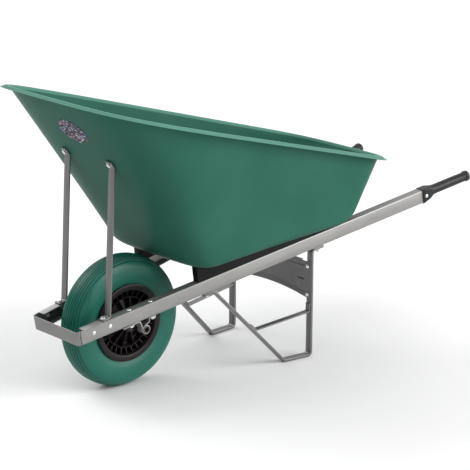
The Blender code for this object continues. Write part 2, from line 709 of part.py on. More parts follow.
def build_grip(side, label):
    """Moulded grip: square sleeve over the rail's end, then a round hand part with an end collar."""
    middle = RAIL_FLANGE / 2
    hand = (GRIP_AXIS, GRIP_R, GRIP_R)
    collar = (GRIP_AXIS, GRIP_COLLAR_R, GRIP_COLLAR_R, 2)
    sections = [(GRIP_START, 0.02115, SLEEVE_HALF_W, 0.02365, 10),
                (RAIL_END, 0.0247, SLEEVE_HALF_W, 0.0199, 10),
                (GRIP_START + 0.044, 0.0256, 0.0160, 0.0158, 3), (GRIP_START + 0.062, *hand, 2.2),
                (GRIP_END - 0.0150, *hand, 2), (GRIP_END - 0.0120, *collar), (GRIP_END - 0.0030, *collar),
                (GRIP_END, GRIP_AXIS, 0.0130, 0.0130, 2)]
    steps = 18
    rings = []
    for along, height, half_w, half_h, power in sections:
        ring = []
        for k in range(steps):
            turn = 2 * math.pi * (k + 0.5) / steps
            c, s = math.cos(turn), math.sin(turn)
            y = math.copysign(abs(c) ** (2 / power), c) * half_w
            z = math.copysign(abs(s) ** (2 / power), s) * half_h
            ring.append((along, inward(side, middle) + y, height + z))
        rings.append(ring)
    frame = rail_frame(side)
    grip = add_object("grip_" + label, *stack_rings(rings), GRIP_BLACK, frame)
    ys = sorted((inward(side, -GAP), inward(side, RAIL_FLANGE + GAP)))
    mouth, end, roof = GRIP_START - 0.01, RAIL_END + GAP, RAIL_H + GAP
    profile = [(mouth, -GAP), (GRIP_START, -GAP), (end, SLANT * (end - GRIP_START) - GAP), (end, roof),
               (mouth, roof)]
    pocket = add_object("pocket_" + label, *prism(profile, *ys), GRIP_BLACK, frame)
    boolean(grip, as_cutter(pocket))
    return grip


# ---------------------------------------------------------------- assembly

def build_side(side, label, tray, strap, plate):
    rail = build_rail(side, label)
    bracket = build_bracket(side, label)
    wedge = build_wedge(side, label)
    strut, strut_y, foot_x, tray_bolt, wall = build_strut(side, label)
    leg = build_leg(side, label)
    build_brace(side, label)
    grip = build_grip(side, label)
    into = rail_point(side, 0, 1, 0) - rail_point(side, 0, 0, 0)
    down = rail_point(side, 0, 0, -1) - rail_point(side, 0, 0, 0)
    made = []

    for k, along in enumerate((0.054, 0.110), 1):
        bolt = Fastener("nose_bolt_%s_%d" % (label, k), rail_point(side, along, 0, RAIL_H * 0.54), into,
                        RAIL_T + GAP + STRAP_T, head_r=0.0062, head_h=0.0026, shank_r=0.003, nut_r=0.0065,
                        nut_h=0.005, tail=0.002)
        bolt.cut(rail, strap)
        made.append(bolt)

    for k, along in enumerate((0.1860, 0.2600), 1):
        bolt = Fastener("bracket_bolt_%s_%d" % (label, k), rail_point(side, along, 0.0125, RAIL_H), down,
                        RAIL_H + GAP + BRACKET_T, head_r=0.0078, head_h=0.0040, nut_r=0.0088)
        bolt.cut(rail, bracket)
        made.append(bolt)

    foot_top = Vector((foot_x, side * strut_y, rail_top_z(foot_x))) - down * (STRUT_T + SEAT)
    bolt = Fastener("strut_foot_bolt_" + label, foot_top, down, STRUT_T + SEAT + RAIL_T, head="hex",
                    head_r=0.0075, head_h=0.0048, nut_h=0.0055, tail=0.002)
    bolt.cut(strut, rail)
    made.append(bolt)

    outward = Vector((-wall.y, 0, wall.x))
    start = Vector((tray_bolt.x, side * strut_y, tray_bolt.y)) + outward * (STRUT_T + 0.0012)
    bolt = Fastener("strut_top_bolt_" + label, start, -outward, STRUT_T + 0.0012 + 0.0110, head="hex",
                    head_r=0.0078, head_h=0.0052, nut_r=0.0080, nut_h=0.0040, tail=0.0015)
    bolt.cut(strut, tray)
    made.append(bolt)

    for k, along in enumerate((0.4560, 0.8750), 1):
        bolt = Fastener("leg_bolt_%s_%d" % (label, k), rail_point(side, along, 0.0140, RAIL_T), down,
                        RAIL_T + GAP + LEG_T + 0.0004, head_r=0.0075, head_h=0.0038)
        bolt.cut(rail, leg)
        made.append(bolt)

    for k, height in enumerate((0.2890, 0.1985), 1):
        leg_y = web_y(AXLE_X + 0.597) - LEG_INSET - LEG_W / 2 - 0.0010
        start = Vector((PLATE_X, side * leg_y, height))
        bolt = Fastener("plate_bolt_%s_%d" % (label, k), start, (1, 0, 0), PLATE_T + LEG_T + 0.0045, head="hex",
                        head_r=0.0062, head_h=0.0036, shank_r=0.003, nut_r=0.0065, nut_h=0.0050, tail=0.002)
        bolt.cut(plate, leg)
        made.append(bolt)

    for k, x in enumerate((AXLE_X + 0.250, AXLE_X + 0.560), 1):
        y = side * (web_y(x) - 0.0150)
        top = Vector((x, y, tray_inside_z(x, abs(y)) + 0.0012))
        depth = (top.z - rail_top_z(x)) / math.cos(RAIL_PITCH) + RAIL_T
        bolt = Fastener("tray_bolt_%s_%d" % (label, k), top, down, depth, head="flat",
                        head_r=0.0100, head_h=0.0030, nut_h=0.0060, tail=0.003)
        bolt.cut(tray, wedge, rail)
        made.append(bolt)

    start = rail_point(side, GRIP_START + 0.012, -0.0032, RAIL_H * 0.5)
    screw = Fastener("grip_screw_" + label, start, into, RAIL_T + 0.0060, nut=False, head_r=0.0055,
                     head_h=0.0022, shank_r=0.0025, tail=0.003)
    screw.cut(grip, rail)
    made.append(screw)
    for bolt in made:
        bolt.build()


def tray_inside_z(x, y):
    """Height of the tray's inner floor, with the rise of its fillet near the wall."""
    x_share = (x - FLOOR["front"]) / (FLOOR["rear"] - FLOOR["front"])
    half = FLOOR["w_front"] + (FLOOR["w_rear"] - FLOOR["w_front"]) * x_share
    past = max(0.0, y + 0.010 - (half - TRAY_WALL - TRAY_FILLET))
    return floor_z(x) + TRAY_WALL + 0.6 * past * past / TRAY_FILLET


def main():
    clear_scene()
    build_wheel()
    build_axle()
    tray = build_tray()
    strap = build_nose_strap()
    plate = build_plate()
    for side, label in SIDES:
        build_side(side, label, tray, strap, plate)


main()
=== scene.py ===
"""Looks of the garden wheelbarrow: every CAD piece gets a finely modelled stand-in and a worn material.

Metres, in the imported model's frame: the wheel is at -X, the handles at +X, "left" is -Y.
"""
import json
import math

import bmesh
import bpy
from mathutils import Matrix, Vector


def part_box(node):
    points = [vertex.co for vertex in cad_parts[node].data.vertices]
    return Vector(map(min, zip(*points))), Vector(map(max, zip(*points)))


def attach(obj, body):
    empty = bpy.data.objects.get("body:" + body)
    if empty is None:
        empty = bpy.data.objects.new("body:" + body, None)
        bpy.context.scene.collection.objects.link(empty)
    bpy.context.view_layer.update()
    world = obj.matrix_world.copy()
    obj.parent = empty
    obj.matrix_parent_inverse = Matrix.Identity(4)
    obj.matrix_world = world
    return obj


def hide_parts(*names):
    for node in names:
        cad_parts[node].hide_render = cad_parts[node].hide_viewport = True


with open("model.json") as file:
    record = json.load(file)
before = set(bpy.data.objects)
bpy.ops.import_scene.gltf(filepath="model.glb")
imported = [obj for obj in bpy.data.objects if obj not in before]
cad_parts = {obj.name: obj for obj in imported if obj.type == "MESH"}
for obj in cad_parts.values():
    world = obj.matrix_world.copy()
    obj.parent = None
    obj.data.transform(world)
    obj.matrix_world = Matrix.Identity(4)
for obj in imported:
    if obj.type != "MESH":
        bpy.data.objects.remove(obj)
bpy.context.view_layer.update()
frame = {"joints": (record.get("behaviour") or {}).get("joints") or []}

LEFT, RIGHT = -1, 1
SIDES = ((LEFT, "left"), (RIGHT, "right"))
GAP = 0.0003
SEAT = GAP + 0.0002                # clearance under bent bars

# places read from the frame
AXLE = Vector(frame["joints"][0]["pos_m"])
AXLE_X = AXLE.x
HUB_HALF_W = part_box("wheel_centre")[1].y
AXLE_HALF_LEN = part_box("axle_tube")[1].y
PLATE_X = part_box("cross_plate")[0].x
PLATE_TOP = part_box("cross_plate")[1].z
PLATE_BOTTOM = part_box("cross_plate")[0].z
PLATE_HALF_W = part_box("cross_plate")[1].y

# wheel
RIM_FLANGE_R = 0.1178
RIM_FACE = 0.0476
CHANNEL_R = (0.0785, 0.0975)
DISH_R = 0.0755
HUB_R = 0.026
BUSH_R = 0.015
AXLE_R = 0.011
SPACER_R = 0.014
BUSH_HEAD = 0.003

# channel rails
NOSE_X = AXLE_X - 0.2309
NOSE_Z = 0.1925
NOSE_HALF_W = 0.1092
RAIL_PITCH = math.radians(10.45)
RAIL_SPLAY = math.radians(5.74)
RAIL_H = 0.0426
RAIL_FLANGE = 0.028
RAIL_T = 0.0025
RAIL_START = 0.012
FLANGE_START = 0.024
BRACKET_W = 0.025
BRACKET_T = 0.003
EYE_R = 0.0140
BRACKET_BEND_R = 0.005
STRAP_T = 0.003
STRAP_ARM = 0.140
STRAP_BEND_R = 0.008

# tray outlines
RIM = dict(front=AXLE_X - 0.2611, rear=AXLE_X + 0.9564, w_front=0.3964, w_rear=0.2249,
           cap_front=0.6354, n_front=3.9, cap_rear=0.1703, n_rear=2.92)
RIM_Z_FRONT = 0.9078
RIM_Z_REAR = 0.5742
FLOOR = dict(front=AXLE_X + 0.1307, rear=AXLE_X + 0.7909, w_front=0.2202, w_rear=0.2306,
             cap_front=0.0857, n_front=4.3, cap_rear=0.1368, n_rear=3.26)
FLOOR_Z_FRONT = 0.3649
FLOOR_KNEE_X = AXLE_X + 0.711
TRAY_WALL = 0.0042
TRAY_LIP = 0.029
TRAY_LIP_DROP = 0.010
TRAY_FILLET = 0.0383
FRONT_TURN, REAR_TURN = 0.42, 0.62     # shares of an outline at which its ends' curves stop

# wedges, struts, legs
WEDGE_FRONT_X = AXLE_X + 0.172
WEDGE_REAR_X = AXLE_X + 0.640
WEDGE_W = 0.024
STRUT_W = 0.025
STRUT_T = 0.005
STRUT_FOOT_X = AXLE_X - 0.150
STRUT_BEND_X = AXLE_X - 0.1235
STRUT_BEND_R = 0.0055
STRUT_OFF_TRAY = 0.0008           # between the strut's tab and the tray
STRUT_TOP_Z = 0.700
STRUT_TAB = 0.024
LEG_W = 0.024
LEG_T = 0.008
LEG_INSET = 0.0020
LEG_BEND_R = 0.0125
BRACE_T = 0.004
BRACE_W = 0.020
BRACE_LOW_Z = 0.1185
BRACE_HIGH_Z = 0.1455
BRACE_TAB = 0.026
BRACE_BEND_R = 0.0065
PLATE_T = 0.0020
PLATE_ARCH = 0.0200

# grips
GRIP_START = 1.294
GRIP_END = 1.492
GRIP_R = 0.0150
GRIP_COLLAR_R = 0.0172
GRIP_AXIS = 0.0255                # height of the hand part over the rail's underside
SLEEVE_HALF_W = 0.0172
RAIL_END = GRIP_START + 0.026
SLANT = 0.28                      # rise of the sleeve's underside towards the hand part

# the camera that gives the barrow's usual catalogue view
CAMERA_AT = (AXLE_X - 3.6412, -4.6599, 2.1483)
CAMERA_YAW = math.radians(48.70)
CAMERA_PITCH = math.radians(15.95)
CAMERA_ROLL = math.radians(0.40)
CAMERA_LENS = 160.9


# ---------------------------------------------------------------- materials

class Nodes:
    """Short calls for building one material's node tree."""

    def __init__(self, name):
        self.mat = bpy.data.materials.new(name)
        self.mat.use_nodes = True
        self.tree = self.mat.node_tree
        self.shader = self.tree.nodes["Principled BSDF"]
        self.coords = self.tree.nodes.new("ShaderNodeTexCoord").outputs["Object"]

    def link(self, source, target):
        self.tree.links.new(source, target)

    def noise(self, scale, detail=4.0, rough=0.55, stretch=None):
        node = self.tree.nodes.new("ShaderNodeTexNoise")
        node.inputs["Scale"].default_value = scale
        node.inputs["Detail"].default_value = detail
        node.inputs["Roughness"].default_value = rough
        self.link(self.mapped(stretch), node.inputs["Vector"])
        return node.outputs["Fac"]

    def cells(self, scale):
        node = self.tree.nodes.new("ShaderNodeTexVoronoi")
        node.inputs["Scale"].default_value = scale
        self.link(self.coords, node.inputs["Vector"])
        return node.outputs["Color"]

    def mapped(self, stretch):
        if stretch is None:
            return self.coords
        node = self.tree.nodes.new("ShaderNodeMapping")
        node.inputs["Scale"].default_value = stretch
        self.link(self.coords, node.inputs["Vector"])
        return node.outputs["Vector"]

    def band(self, source, low, high, to_low, to_high):
        node = self.tree.nodes.new("ShaderNodeMapRange")
        for key, value in (("From Min", low), ("From Max", high), ("To Min", to_low), ("To Max", to_high)):
            node.inputs[key].default_value = value
        self.link(source, node.inputs["Value"])
        return node.outputs["Result"]

    def mix(self, factor, a, b, blend='MIX'):
        node = self.tree.nodes.new("ShaderNodeMix")
        node.data_type = 'RGBA'
        node.blend_type = blend
        if isinstance(factor, float):
            node.inputs["Factor"].default_value = factor
        else:
            self.link(factor, node.inputs["Factor"])
        for value, socket in ((a, node.inputs[6]), (b, node.inputs[7])):
            if isinstance(value, tuple):
                socket.default_value = (*value, 1.0)
            else:
                self.link(value, socket)
        return node.outputs[2]

    def add(self, a, b, operation='ADD'):
        node = self.tree.nodes.new("ShaderNodeMath")
        node.operation = operation
        for value, socket in ((a, node.inputs[0]), (b, node.inputs[1])):
            if isinstance(value, float):
                socket.default_value = value
            else:
                self.link(value, socket)
        return node.outputs["Value"]

    def bump(self, height, strength, distance):
        node = self.tree.nodes.new("ShaderNodeBump")
        node.inputs["Strength"].default_value = strength
        node.inputs["Distance"].default_value = distance
        self.link(height, node.inputs["Height"])
        self.link(node.outputs["Normal"], self.shader.inputs["Normal"])

    def colour(self, source):
        self.link(source, self.shader.inputs["Base Color"])

    def roughness(self, source):
        self.link(source, self.shader.inputs["Roughness"])


def sheet_steel(name, tint, metallic=0.72, rough=0.40):
    """Galvanised sheet: faint spangle, long rolling streaks and a few duller patches."""
    n = Nodes(name)
    spangle = n.band(n.cells(130.0), 0.0, 1.0, 0.0, 1.0)
    streaks = n.noise(38.0, 3.0, 0.6, stretch=(0.12, 1.0, 1.0))
    patches = n.noise(6.0, 5.0, 0.6)
    darker = tuple(c * 0.86 for c in tint)
    lighter = tuple(min(1.0, c * 1.10) for c in tint)
    base = n.mix(n.band(patches, 0.35, 0.70, 0.0, 1.0), darker, tint)
    base = n.mix(n.band(streaks, 0.45, 0.75, 0.0, 0.55), base, lighter)
    base = n.mix(n.band(spangle, 0.0, 1.0, 0.0, 0.16), base, lighter)
    n.colour(base)
    n.roughness(n.add(n.band(patches, 0.3, 0.7, rough - 0.06, rough + 0.07),
                      n.band(spangle, 0.0, 1.0, -0.03, 0.03)))
    n.shader.inputs["Metallic"].default_value = metallic
    n.bump(n.add(n.noise(420.0, 2.0), n.band(streaks, 0.3, 0.7, 0.0, 0.8)), 0.10, 0.0004)
    return n.mat


def zinc_steel():
    """Bright zinc plate of the fasteners."""
    n = Nodes("bright_zinc")
    dull = n.noise(160.0, 4.0)
    n.colour(n.mix(n.band(dull, 0.35, 0.7, 0.0, 1.0), (0.80, 0.80, 0.79), (0.62, 0.62, 0.60)))
    n.roughness(n.band(dull, 0.3, 0.7, 0.18, 0.36))
    n.shader.inputs["Metallic"].default_value = 0.85
    n.bump(n.noise(900.0, 2.0), 0.08, 0.0002)
    return n.mat


def moulded(name, base, light, rough, grain=700.0, scuff=0.5, ior=1.3, painted_highlight=None):
    """Moulded plastic or rubber: fine orange-peel grain, cloudy tone and a few pale scuffs."""
    n = Nodes(name)
    cloud = n.noise(5.0, 4.0, 0.55)
    fine = n.noise(grain, 3.0, 0.6)
    scuffs = n.noise(55.0, 6.0, 0.75, stretch=(1.0, 1.0, 0.25))
    tone = n.mix(n.band(cloud, 0.35, 0.68, 0.0, 1.0), base, light)
    pale = tuple(min(1.0, c * 1.35 + 0.006) for c in light)
    tone = n.mix(n.band(scuffs, 0.64, 0.80, 0.0, scuff), tone, pale)
    # The optional painted highlight is laid over the plastic's tone here.
    n.colour(painted_highlight(n, tone) if painted_highlight else tone)
    n.roughness(n.add(n.band(cloud, 0.3, 0.7, rough - 0.03, rough + 0.04),
                      n.band(fine, 0.3, 0.7, -0.03, 0.05)))
    n.shader.inputs["IOR"].default_value = ior
    n.bump(fine, 0.22, 0.0003)
    return n.mat


def painted_lip_highlight(n, tone):
    """Painted highlight: the tray's rolled lip is painted a paler green than its walls, standing in for the
    light its top catches.
    """
    parts = n.tree.nodes.new("ShaderNodeSeparateXYZ")
    n.link(n.coords, parts.inputs[0])
    slope = (RIM_Z_REAR - RIM_Z_FRONT) / (RIM["rear"] - RIM["front"])
    above = n.add(parts.outputs["Z"], n.add(parts.outputs["X"], -slope, 'MULTIPLY'))
    plane = RIM_Z_FRONT - slope * RIM["front"]
    lip = n.band(above, plane - 0.0105, plane - 0.0085, 0.0, 1.0)
    return n.mix(lip, tone, (0.080, 0.205, 0.160))


def ribbed_grip():
    """Black grip: very fine lengthwise grain and a soft shine."""
    n = Nodes("grip_moulding")
    lines = n.noise(260.0, 3.0, 0.6, stretch=(0.2, 1.0, 1.0))
    cloud = n.noise(18.0, 3.0)
    n.colour(n.mix(n.band(cloud, 0.3, 0.7, 0.0, 1.0), (0.008, 0.008, 0.009), (0.014, 0.014, 0.015)))
    n.shader.inputs["IOR"].default_value = 1.35
    n.roughness(n.band(lines, 0.3, 0.7, 0.30, 0.44))
    n.bump(lines, 0.16, 0.0004)
    return n.mat


def decal_material():
    """Dark oval sticker with a meaningless mottle of pale, red and blue flecks."""
    n = Nodes("plain_oval_decal")
    tone = n.mix(n.band(n.noise(70.0, 3.0), 0.55, 0.62, 0.0, 1.0), (0.022, 0.024, 0.034), (0.20, 0.035, 0.05))
    blue = n.band(n.noise(95.0, 3.0, stretch=(1.0, 1.3, 0.8)), 0.56, 0.62, 0.0, 1.0)
    tone = n.mix(blue, tone, (0.05, 0.09, 0.24))
    pale = n.band(n.noise(130.0, 4.0, stretch=(1.0, 0.7, 1.5)), 0.56, 0.60, 0.0, 1.0)
    tone = n.mix(pale, tone, (0.50, 0.49, 0.52))
    n.colour(tone)
    n.shader.inputs["IOR"].default_value = 1.15
    n.roughness(n.band(n.noise(30.0, 3.0), 0.3, 0.7, 0.30, 0.42))
    return n.mat


def floor_material():
    n = Nodes("pale_floor")
    n.colour(n.mix(n.noise(0.8, 3.0), (0.70, 0.70, 0.70), (0.73, 0.73, 0.73)))
    n.shader.inputs["Roughness"].default_value = 0.9
    n.shader.inputs["Specular IOR Level"].default_value = 0.1
    return n.mat


STEEL = sheet_steel("galvanised_sheet", (0.31, 0.305, 0.295))
# Painted shade: the nose strap's steel is a darker copy of the sheet steel, standing in for the shade on its
# forward faces.
SHADED_STRAP_STEEL = sheet_steel("galvanised_strap_painted_shade", (0.23, 0.228, 0.225))
# Darker flat-bar steel, darkened further as painted shade for the bars' forward faces.
BAR_STEEL_WITH_PAINTED_SHADE = sheet_steel("galvanised_bar_painted_shade", (0.165, 0.165, 0.162), metallic=0.60, rough=0.34)
ZINC = zinc_steel()
# The tray's plastic carries a painted highlight: its lip is a paler green band.
TRAY_GREEN = moulded("tray_plastic", (0.025, 0.103, 0.075), (0.030, 0.116, 0.085), 0.32,
                     grain=520.0, scuff=0.30, ior=1.09, painted_highlight=painted_lip_highlight)
TYRE_GREEN = moulded("tyre_foam", (0.011, 0.102, 0.074), (0.014, 0.122, 0.088), 0.31, grain=900.0, scuff=0.25,
                      ior=1.34)
RIM_BLACK = moulded("rim_plastic", (0.008, 0.0055, 0.0062), (0.013, 0.009, 0.010), 0.36, grain=800.0, scuff=0.2,
                     ior=1.3)
WEDGE_BLACK = moulded("wedge_plastic", (0.009, 0.009, 0.0095), (0.014, 0.014, 0.0145), 0.5,
                      grain=600.0, scuff=0.3, ior=1.2)
BUSH_GREY = moulded("bush_plastic", (0.06, 0.06, 0.065), (0.09, 0.09, 0.095), 0.45, grain=900.0, scuff=0.2)
GRIP_BLACK = ribbed_grip()


# ---------------------------------------------------------------- mesh helpers

def new_mesh(name, verts, faces, mat, place=None):
    mesh = bpy.data.meshes.new(name)
    bm = bmesh.new()
    made = [bm.verts.new(v) for v in verts]
    for face in faces:
        bm.faces.new([made[i] for i in face])
    bmesh.ops.recalc_face_normals(bm, faces=bm.faces[:])
    bm.to_mesh(mesh)
    bm.free()
    if place is not None:
        mesh.transform(place)
        if place.determinant() < 0:
            mesh.flip_normals()
    mesh.materials.append(mat)
    obj = bpy.data.objects.new(name, mesh)
    bpy.context.scene.collection.objects.link(obj)
    return obj


def apply_modifiers(obj):
    graph = bpy.context.evaluated_depsgraph_get()
    baked = bpy.data.meshes.new_from_object(obj.evaluated_get(graph))
    old = obj.data
    obj.modifiers.clear()
    obj.data = baked
    bpy.data.meshes.remove(old)


def combine(obj, tools, operation):
    """Exact Boolean with each helper, which is then removed."""
    for tool in tools:
        mod = obj.modifiers.new(tool.name, 'BOOLEAN')
        mod.operation = operation
        mod.object = tool
        mod.solver = 'EXACT'
    apply_modifiers(obj)
    for tool in tools:
        bpy.data.objects.remove(tool, do_unlink=True)
    return obj


def bevel(obj, width, segments=2, angle=34.0):
    mod = obj.modifiers.new("edge_round", 'BEVEL')
    mod.width = width
    mod.segments = segments
    mod.limit_method = 'ANGLE'
    mod.angle_limit = math.radians(angle)
    mod.use_clamp_overlap = True
    apply_modifiers(obj)


def settle(obj, node, body="frame", smooth=40.0):
    """Shade it smooth, and let it stand for its CAD node."""
    obj.data.shade_smooth()
    obj.data.set_sharp_from_angle(angle=math.radians(smooth))
    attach(obj, body)
    if node:
        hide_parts(node)
    return obj


def stack_rings(rings, closed_ends=True, closed_loop=False):
    """Skin equal-length rings one after the other; open stacks get flat caps."""
    count = len(rings[0])
    verts = [v for ring in rings for v in ring]
    faces = []
    last = len(rings) if closed_loop else len(rings) - 1
    for k in range(last):
        m = (k + 1) % len(rings)
        for i in range(count):
            j = (i + 1) % count
            faces.append((k * count + i, k * count + j, m * count + j, m * count + i))
    if closed_ends and not closed_loop:
        top = (len(rings) - 1) * count
        faces.append(tuple(range(count)))
        faces.append(tuple(range(top, top + count)))
    return verts, faces


def prism(outline, low, high, plane="xz"):
    def place(a, b, c):
        return {"xz": (a, c, b), "xy": (a, b, c), "yz": (c, a, b)}[plane]
    return stack_rings([[place(a, b, c) for a, b in outline] for c in (low, high)])


def lathe(profile, steps=128):
    """Closed (y, r) profile turned about the Y axis."""
    rings = []
    for s in range(steps):
        turn = 2 * math.pi * s / steps
        rings.append([(r * math.cos(turn), y, r * math.sin(turn)) for y, r in profile])
    return stack_rings(rings, closed_loop=True)


def bent_path(points, radius, arc_steps=14):
    """Polyline with each inner corner replaced by an arc of the given centre-line radius."""
    path = [Vector(points[0])]
    for k in range(1, len(points) - 1):
        here = Vector(points[k])
        back = (Vector(points[k - 1]) - here).normalized()
        ahead = (Vector(points[k + 1]) - here).normalized()
        half = back.angle(ahead) / 2
        reach = radius / math.tan(half)
        centre = here + (back + ahead).normalized() * (radius / math.sin(half))
        start, end = here + back * reach - centre, here + ahead * reach - centre
        sweep = start.angle_signed(end)
        for s in range(arc_steps + 1):
            turn = -sweep * s / arc_steps
            path.append(centre + Vector((start.x * math.cos(turn) - start.y * math.sin(turn),
                                         start.x * math.sin(turn) + start.y * math.cos(turn))))
    path.append(Vector(points[-1]))
    return path


def strip_outline(points, radius, thickness):
    """Outline of a bent flat bar seen on its edge."""
    path = bent_path(points, radius)
    left, right = [], []
    for k, here in enumerate(path):
        before, after = path[max(k - 1, 0)], path[min(k + 1, len(path) - 1)]
        into = (here - before).normalized() if k else (after - here).normalized()
        out = (after - here).normalized() if k < len(path) - 1 else into
        along = (into + out).normalized()
        side = Vector((-along.y, along.x)) * (thickness / 2 / max(0.5, along.dot(into)))
        left.append(tuple(here + side))
        right.append(tuple(here - side))
    return left + right[::-1]


def bar(name, outline, low, high, mat, place=None, rounding=0.0008):
    """Bent flat bar with softly rounded long edges."""
    verts, faces = prism(outline, low, high)
    obj = new_mesh(name, verts, faces, mat, place)
    bevel(obj, rounding, 2, 50.0)
    return obj


def matrix_from(origin, x_dir, z_dir):
    x_axis, z_axis = Vector(x_dir).normalized(), Vector(z_dir).normalized()
    y_axis = z_axis.cross(x_axis).normalized()
    place = Matrix((x_axis, y_axis, x_axis.cross(y_axis))).transposed().to_4x4()
    place.translation = Vector(origin)
    return place


def slope_frame():
    slope = Vector((math.cos(RAIL_PITCH), 0, math.sin(RAIL_PITCH)))
    up = Vector((-math.sin(RAIL_PITCH), 0, math.cos(RAIL_PITCH)))
    return matrix_from((NOSE_X, 0, NOSE_Z), slope, up)


def rail_frame(side):
    """X along the rail, Z its up; the outer face of its web is at local y = 0."""
    plane = slope_frame()
    along = plane.to_3x3() @ Vector((math.cos(RAIL_SPLAY), side * math.sin(RAIL_SPLAY), 0))
    return matrix_from(plane @ Vector((0, side * NOSE_HALF_W, 0)), along, plane.to_3x3() @ Vector((0, 0, 1)))


def inward(side, distance):
    return -side * distance


def rail_point(side, along, inboard, height):
    return rail_frame(side) @ Vector((along, inward(side, inboard), height))


def web_y(x):
    return NOSE_HALF_W + (x - NOSE_X) / math.cos(RAIL_PITCH) * math.tan(RAIL_SPLAY)


def rail_top_z(x):
    return NOSE_Z + (x - NOSE_X) * math.tan(RAIL_PITCH) + RAIL_H / math.cos(RAIL_PITCH)


# ---------------------------------------------------------------- wheel

def tyre_profile():
    """Outer section from an arc-like shape with fine rounded grooves, closed along the bead."""
    shape = [(0.0, 0.2000), (0.010, 0.1996), (0.020, 0.1975), (0.030, 0.1928), (0.0375, 0.1855),
             (0.0425, 0.1740), (0.0450, 0.1570), (0.0445, 0.1400), (0.0420, 0.1260), (0.0398, 0.1175)]
    grooves = (0.0050, 0.0140, 0.0225, 0.0300, 0.0362)
    groove_w, groove_d = 0.0013, 0.0030
    curve = smooth_curve([Vector(p) for p in shape], 16)
    half = []
    for k, here in enumerate(curve):
        run = curve[min(k + 1, len(curve) - 1)] - curve[max(k - 1, 0)]
        normal = Vector((-run.y, run.x)).normalized()
        depth = 0.0
        if here.y > 0.180:
            depth = sum(groove_d * math.exp(-((here.x - g) / groove_w) ** 2) for g in grooves)
        half.append(here - normal * depth)
    half += [Vector((0.0390, 0.1172)), Vector((0.0390, 0.1004))]
    return [tuple(p) for p in half] + [(-p.x, p.y) for p in half[::-1][:-1]]


def smooth_curve(points, steps):
    """Catmull-Rom curve through the points."""
    full = [points[0] * 2 - points[1]] + points + [points[-1] * 2 - points[-2]]
    curve = []
    for k in range(1, len(full) - 2):
        a, b, c, d = full[k - 1:k + 3]
        for s in range(steps):
            t = s / steps
            curve.append(0.5 * ((2 * b) + (c - a) * t + (2 * a - 5 * b + 4 * c - d) * t * t
                                + (3 * b - a - 3 * c + d) * t ** 3))
    curve.append(points[-1])
    return curve


def rim_profile():
    """Turned section of the moulded centre: flange, ribbed channel, thin ring, coned dish and hub."""
    face = [(0.0462, RIM_FLANGE_R), (0.0472, RIM_FLANGE_R - 0.0004), (RIM_FACE, RIM_FLANGE_R - 0.0014),
            (RIM_FACE, 0.1030), (0.0470, 0.1010), (0.0450, 0.0992), (0.0430, CHANNEL_R[1] + 0.0006),
            (0.0080, CHANNEL_R[1] - 0.0006), (0.0060, CHANNEL_R[1] - 0.0020), (0.0060, CHANNEL_R[0] + 0.0010),
            (0.0080, CHANNEL_R[0]), (0.0372, CHANNEL_R[0] - 0.0004), (0.0380, CHANNEL_R[0] - 0.0010),
            (0.0380, DISH_R + 0.0006), (0.0374, DISH_R), (0.0160, DISH_R - 0.0014), (0.0150, DISH_R - 0.0040),
            (0.0200, 0.0560), (0.0260, 0.0420), (0.0320, 0.0310), (0.0430, HUB_R + 0.0006),
            (HUB_HALF_W - 0.0010, HUB_R), (HUB_HALF_W, HUB_R - 0.0010), (HUB_HALF_W, BUSH_R + GAP)]
    outer = [(0.0398, 0.1004), (0.0398, 0.1160), (0.0406, 0.1172), (0.0416, RIM_FLANGE_R)]
    return [(-y, r) for y, r in outer + face] + face[::-1] + outer[::-1]


def radial_ribs(count, radii, half_y, thickness, phase):
    """One mesh holding thin ribs that stand on both sides of the wheel centre."""
    verts, faces = [], []
    for side in SIDES:
        for k in range(count):
            turn = Matrix.Rotation(2 * math.pi * (k + phase) / count, 4, 'Y')
            t = thickness / 2
            inner, outer = radii
            low_in, low_out, high_in, high_out = half_y
            ring_a = [(inner, side[0] * low_in, -t), (outer, side[0] * low_out, -t),
                      (outer, side[0] * high_out, -t), (inner, side[0] * high_in, -t)]
            base = len(verts)
            for z in (-1, 1):
                verts += [tuple(turn @ Vector((x, y, z * t))) for x, y, _ in ring_a]
            faces += [tuple(base + i for i in f) for f in
                      ((0, 1, 2, 3), (7, 6, 5, 4), (0, 4, 5, 1), (1, 5, 6, 2), (2, 6, 7, 3), (3, 7, 4, 0))]
    return verts, faces


def build_wheel():
    place = Matrix.Translation(AXLE)
    settle(new_mesh("tyre_fine", *lathe(tyre_profile(), 160), TYRE_GREEN, place), "tyre", "wheel", 60.0)
    settle(new_mesh("rim_fine", *lathe(rim_profile(), 144), RIM_BLACK, place), "wheel_centre", "wheel", 32.0)
    channel, dish = (CHANNEL_R[0] - 0.0008, CHANNEL_R[1] + 0.0012), (HUB_R - 0.001, DISH_R + 0.0004)
    ribs = (("rim_channel_ribs", 28, channel, (0.004, 0.004, 0.0335, 0.0385), 0.0024, 0.15),
            ("rim_dish_ribs", 12, dish, (0.018, 0.010, 0.0440, 0.0345), 0.0026, 0.35))
    for name, count, radii, half_y, thickness, phase in ribs:
        made = new_mesh(name, *radial_ribs(count, radii, half_y, thickness, phase), RIM_BLACK, place)
        bevel(made, 0.0004, 2, 50.0)
        settle(made, None, "wheel", 32.0)
    for side, label in SIDES:
        inner, shoulder, outer = 0.020, HUB_HALF_W + GAP, HUB_HALF_W + BUSH_HEAD
        bore, round_off = AXLE_R + GAP, 0.0004
        half = [(inner, bore), (outer - round_off, bore), (outer, bore + round_off), (outer, 0.0184),
                (outer - 0.0006, 0.0190), (shoulder, 0.0190), (shoulder, BUSH_R), (inner, BUSH_R)]
        bush = new_mesh("bush_fine_" + label, *lathe([(side * y, r) for y, r in half], 64), BUSH_GREY, place)
        settle(bush, "hub_bush_" + label, "wheel")


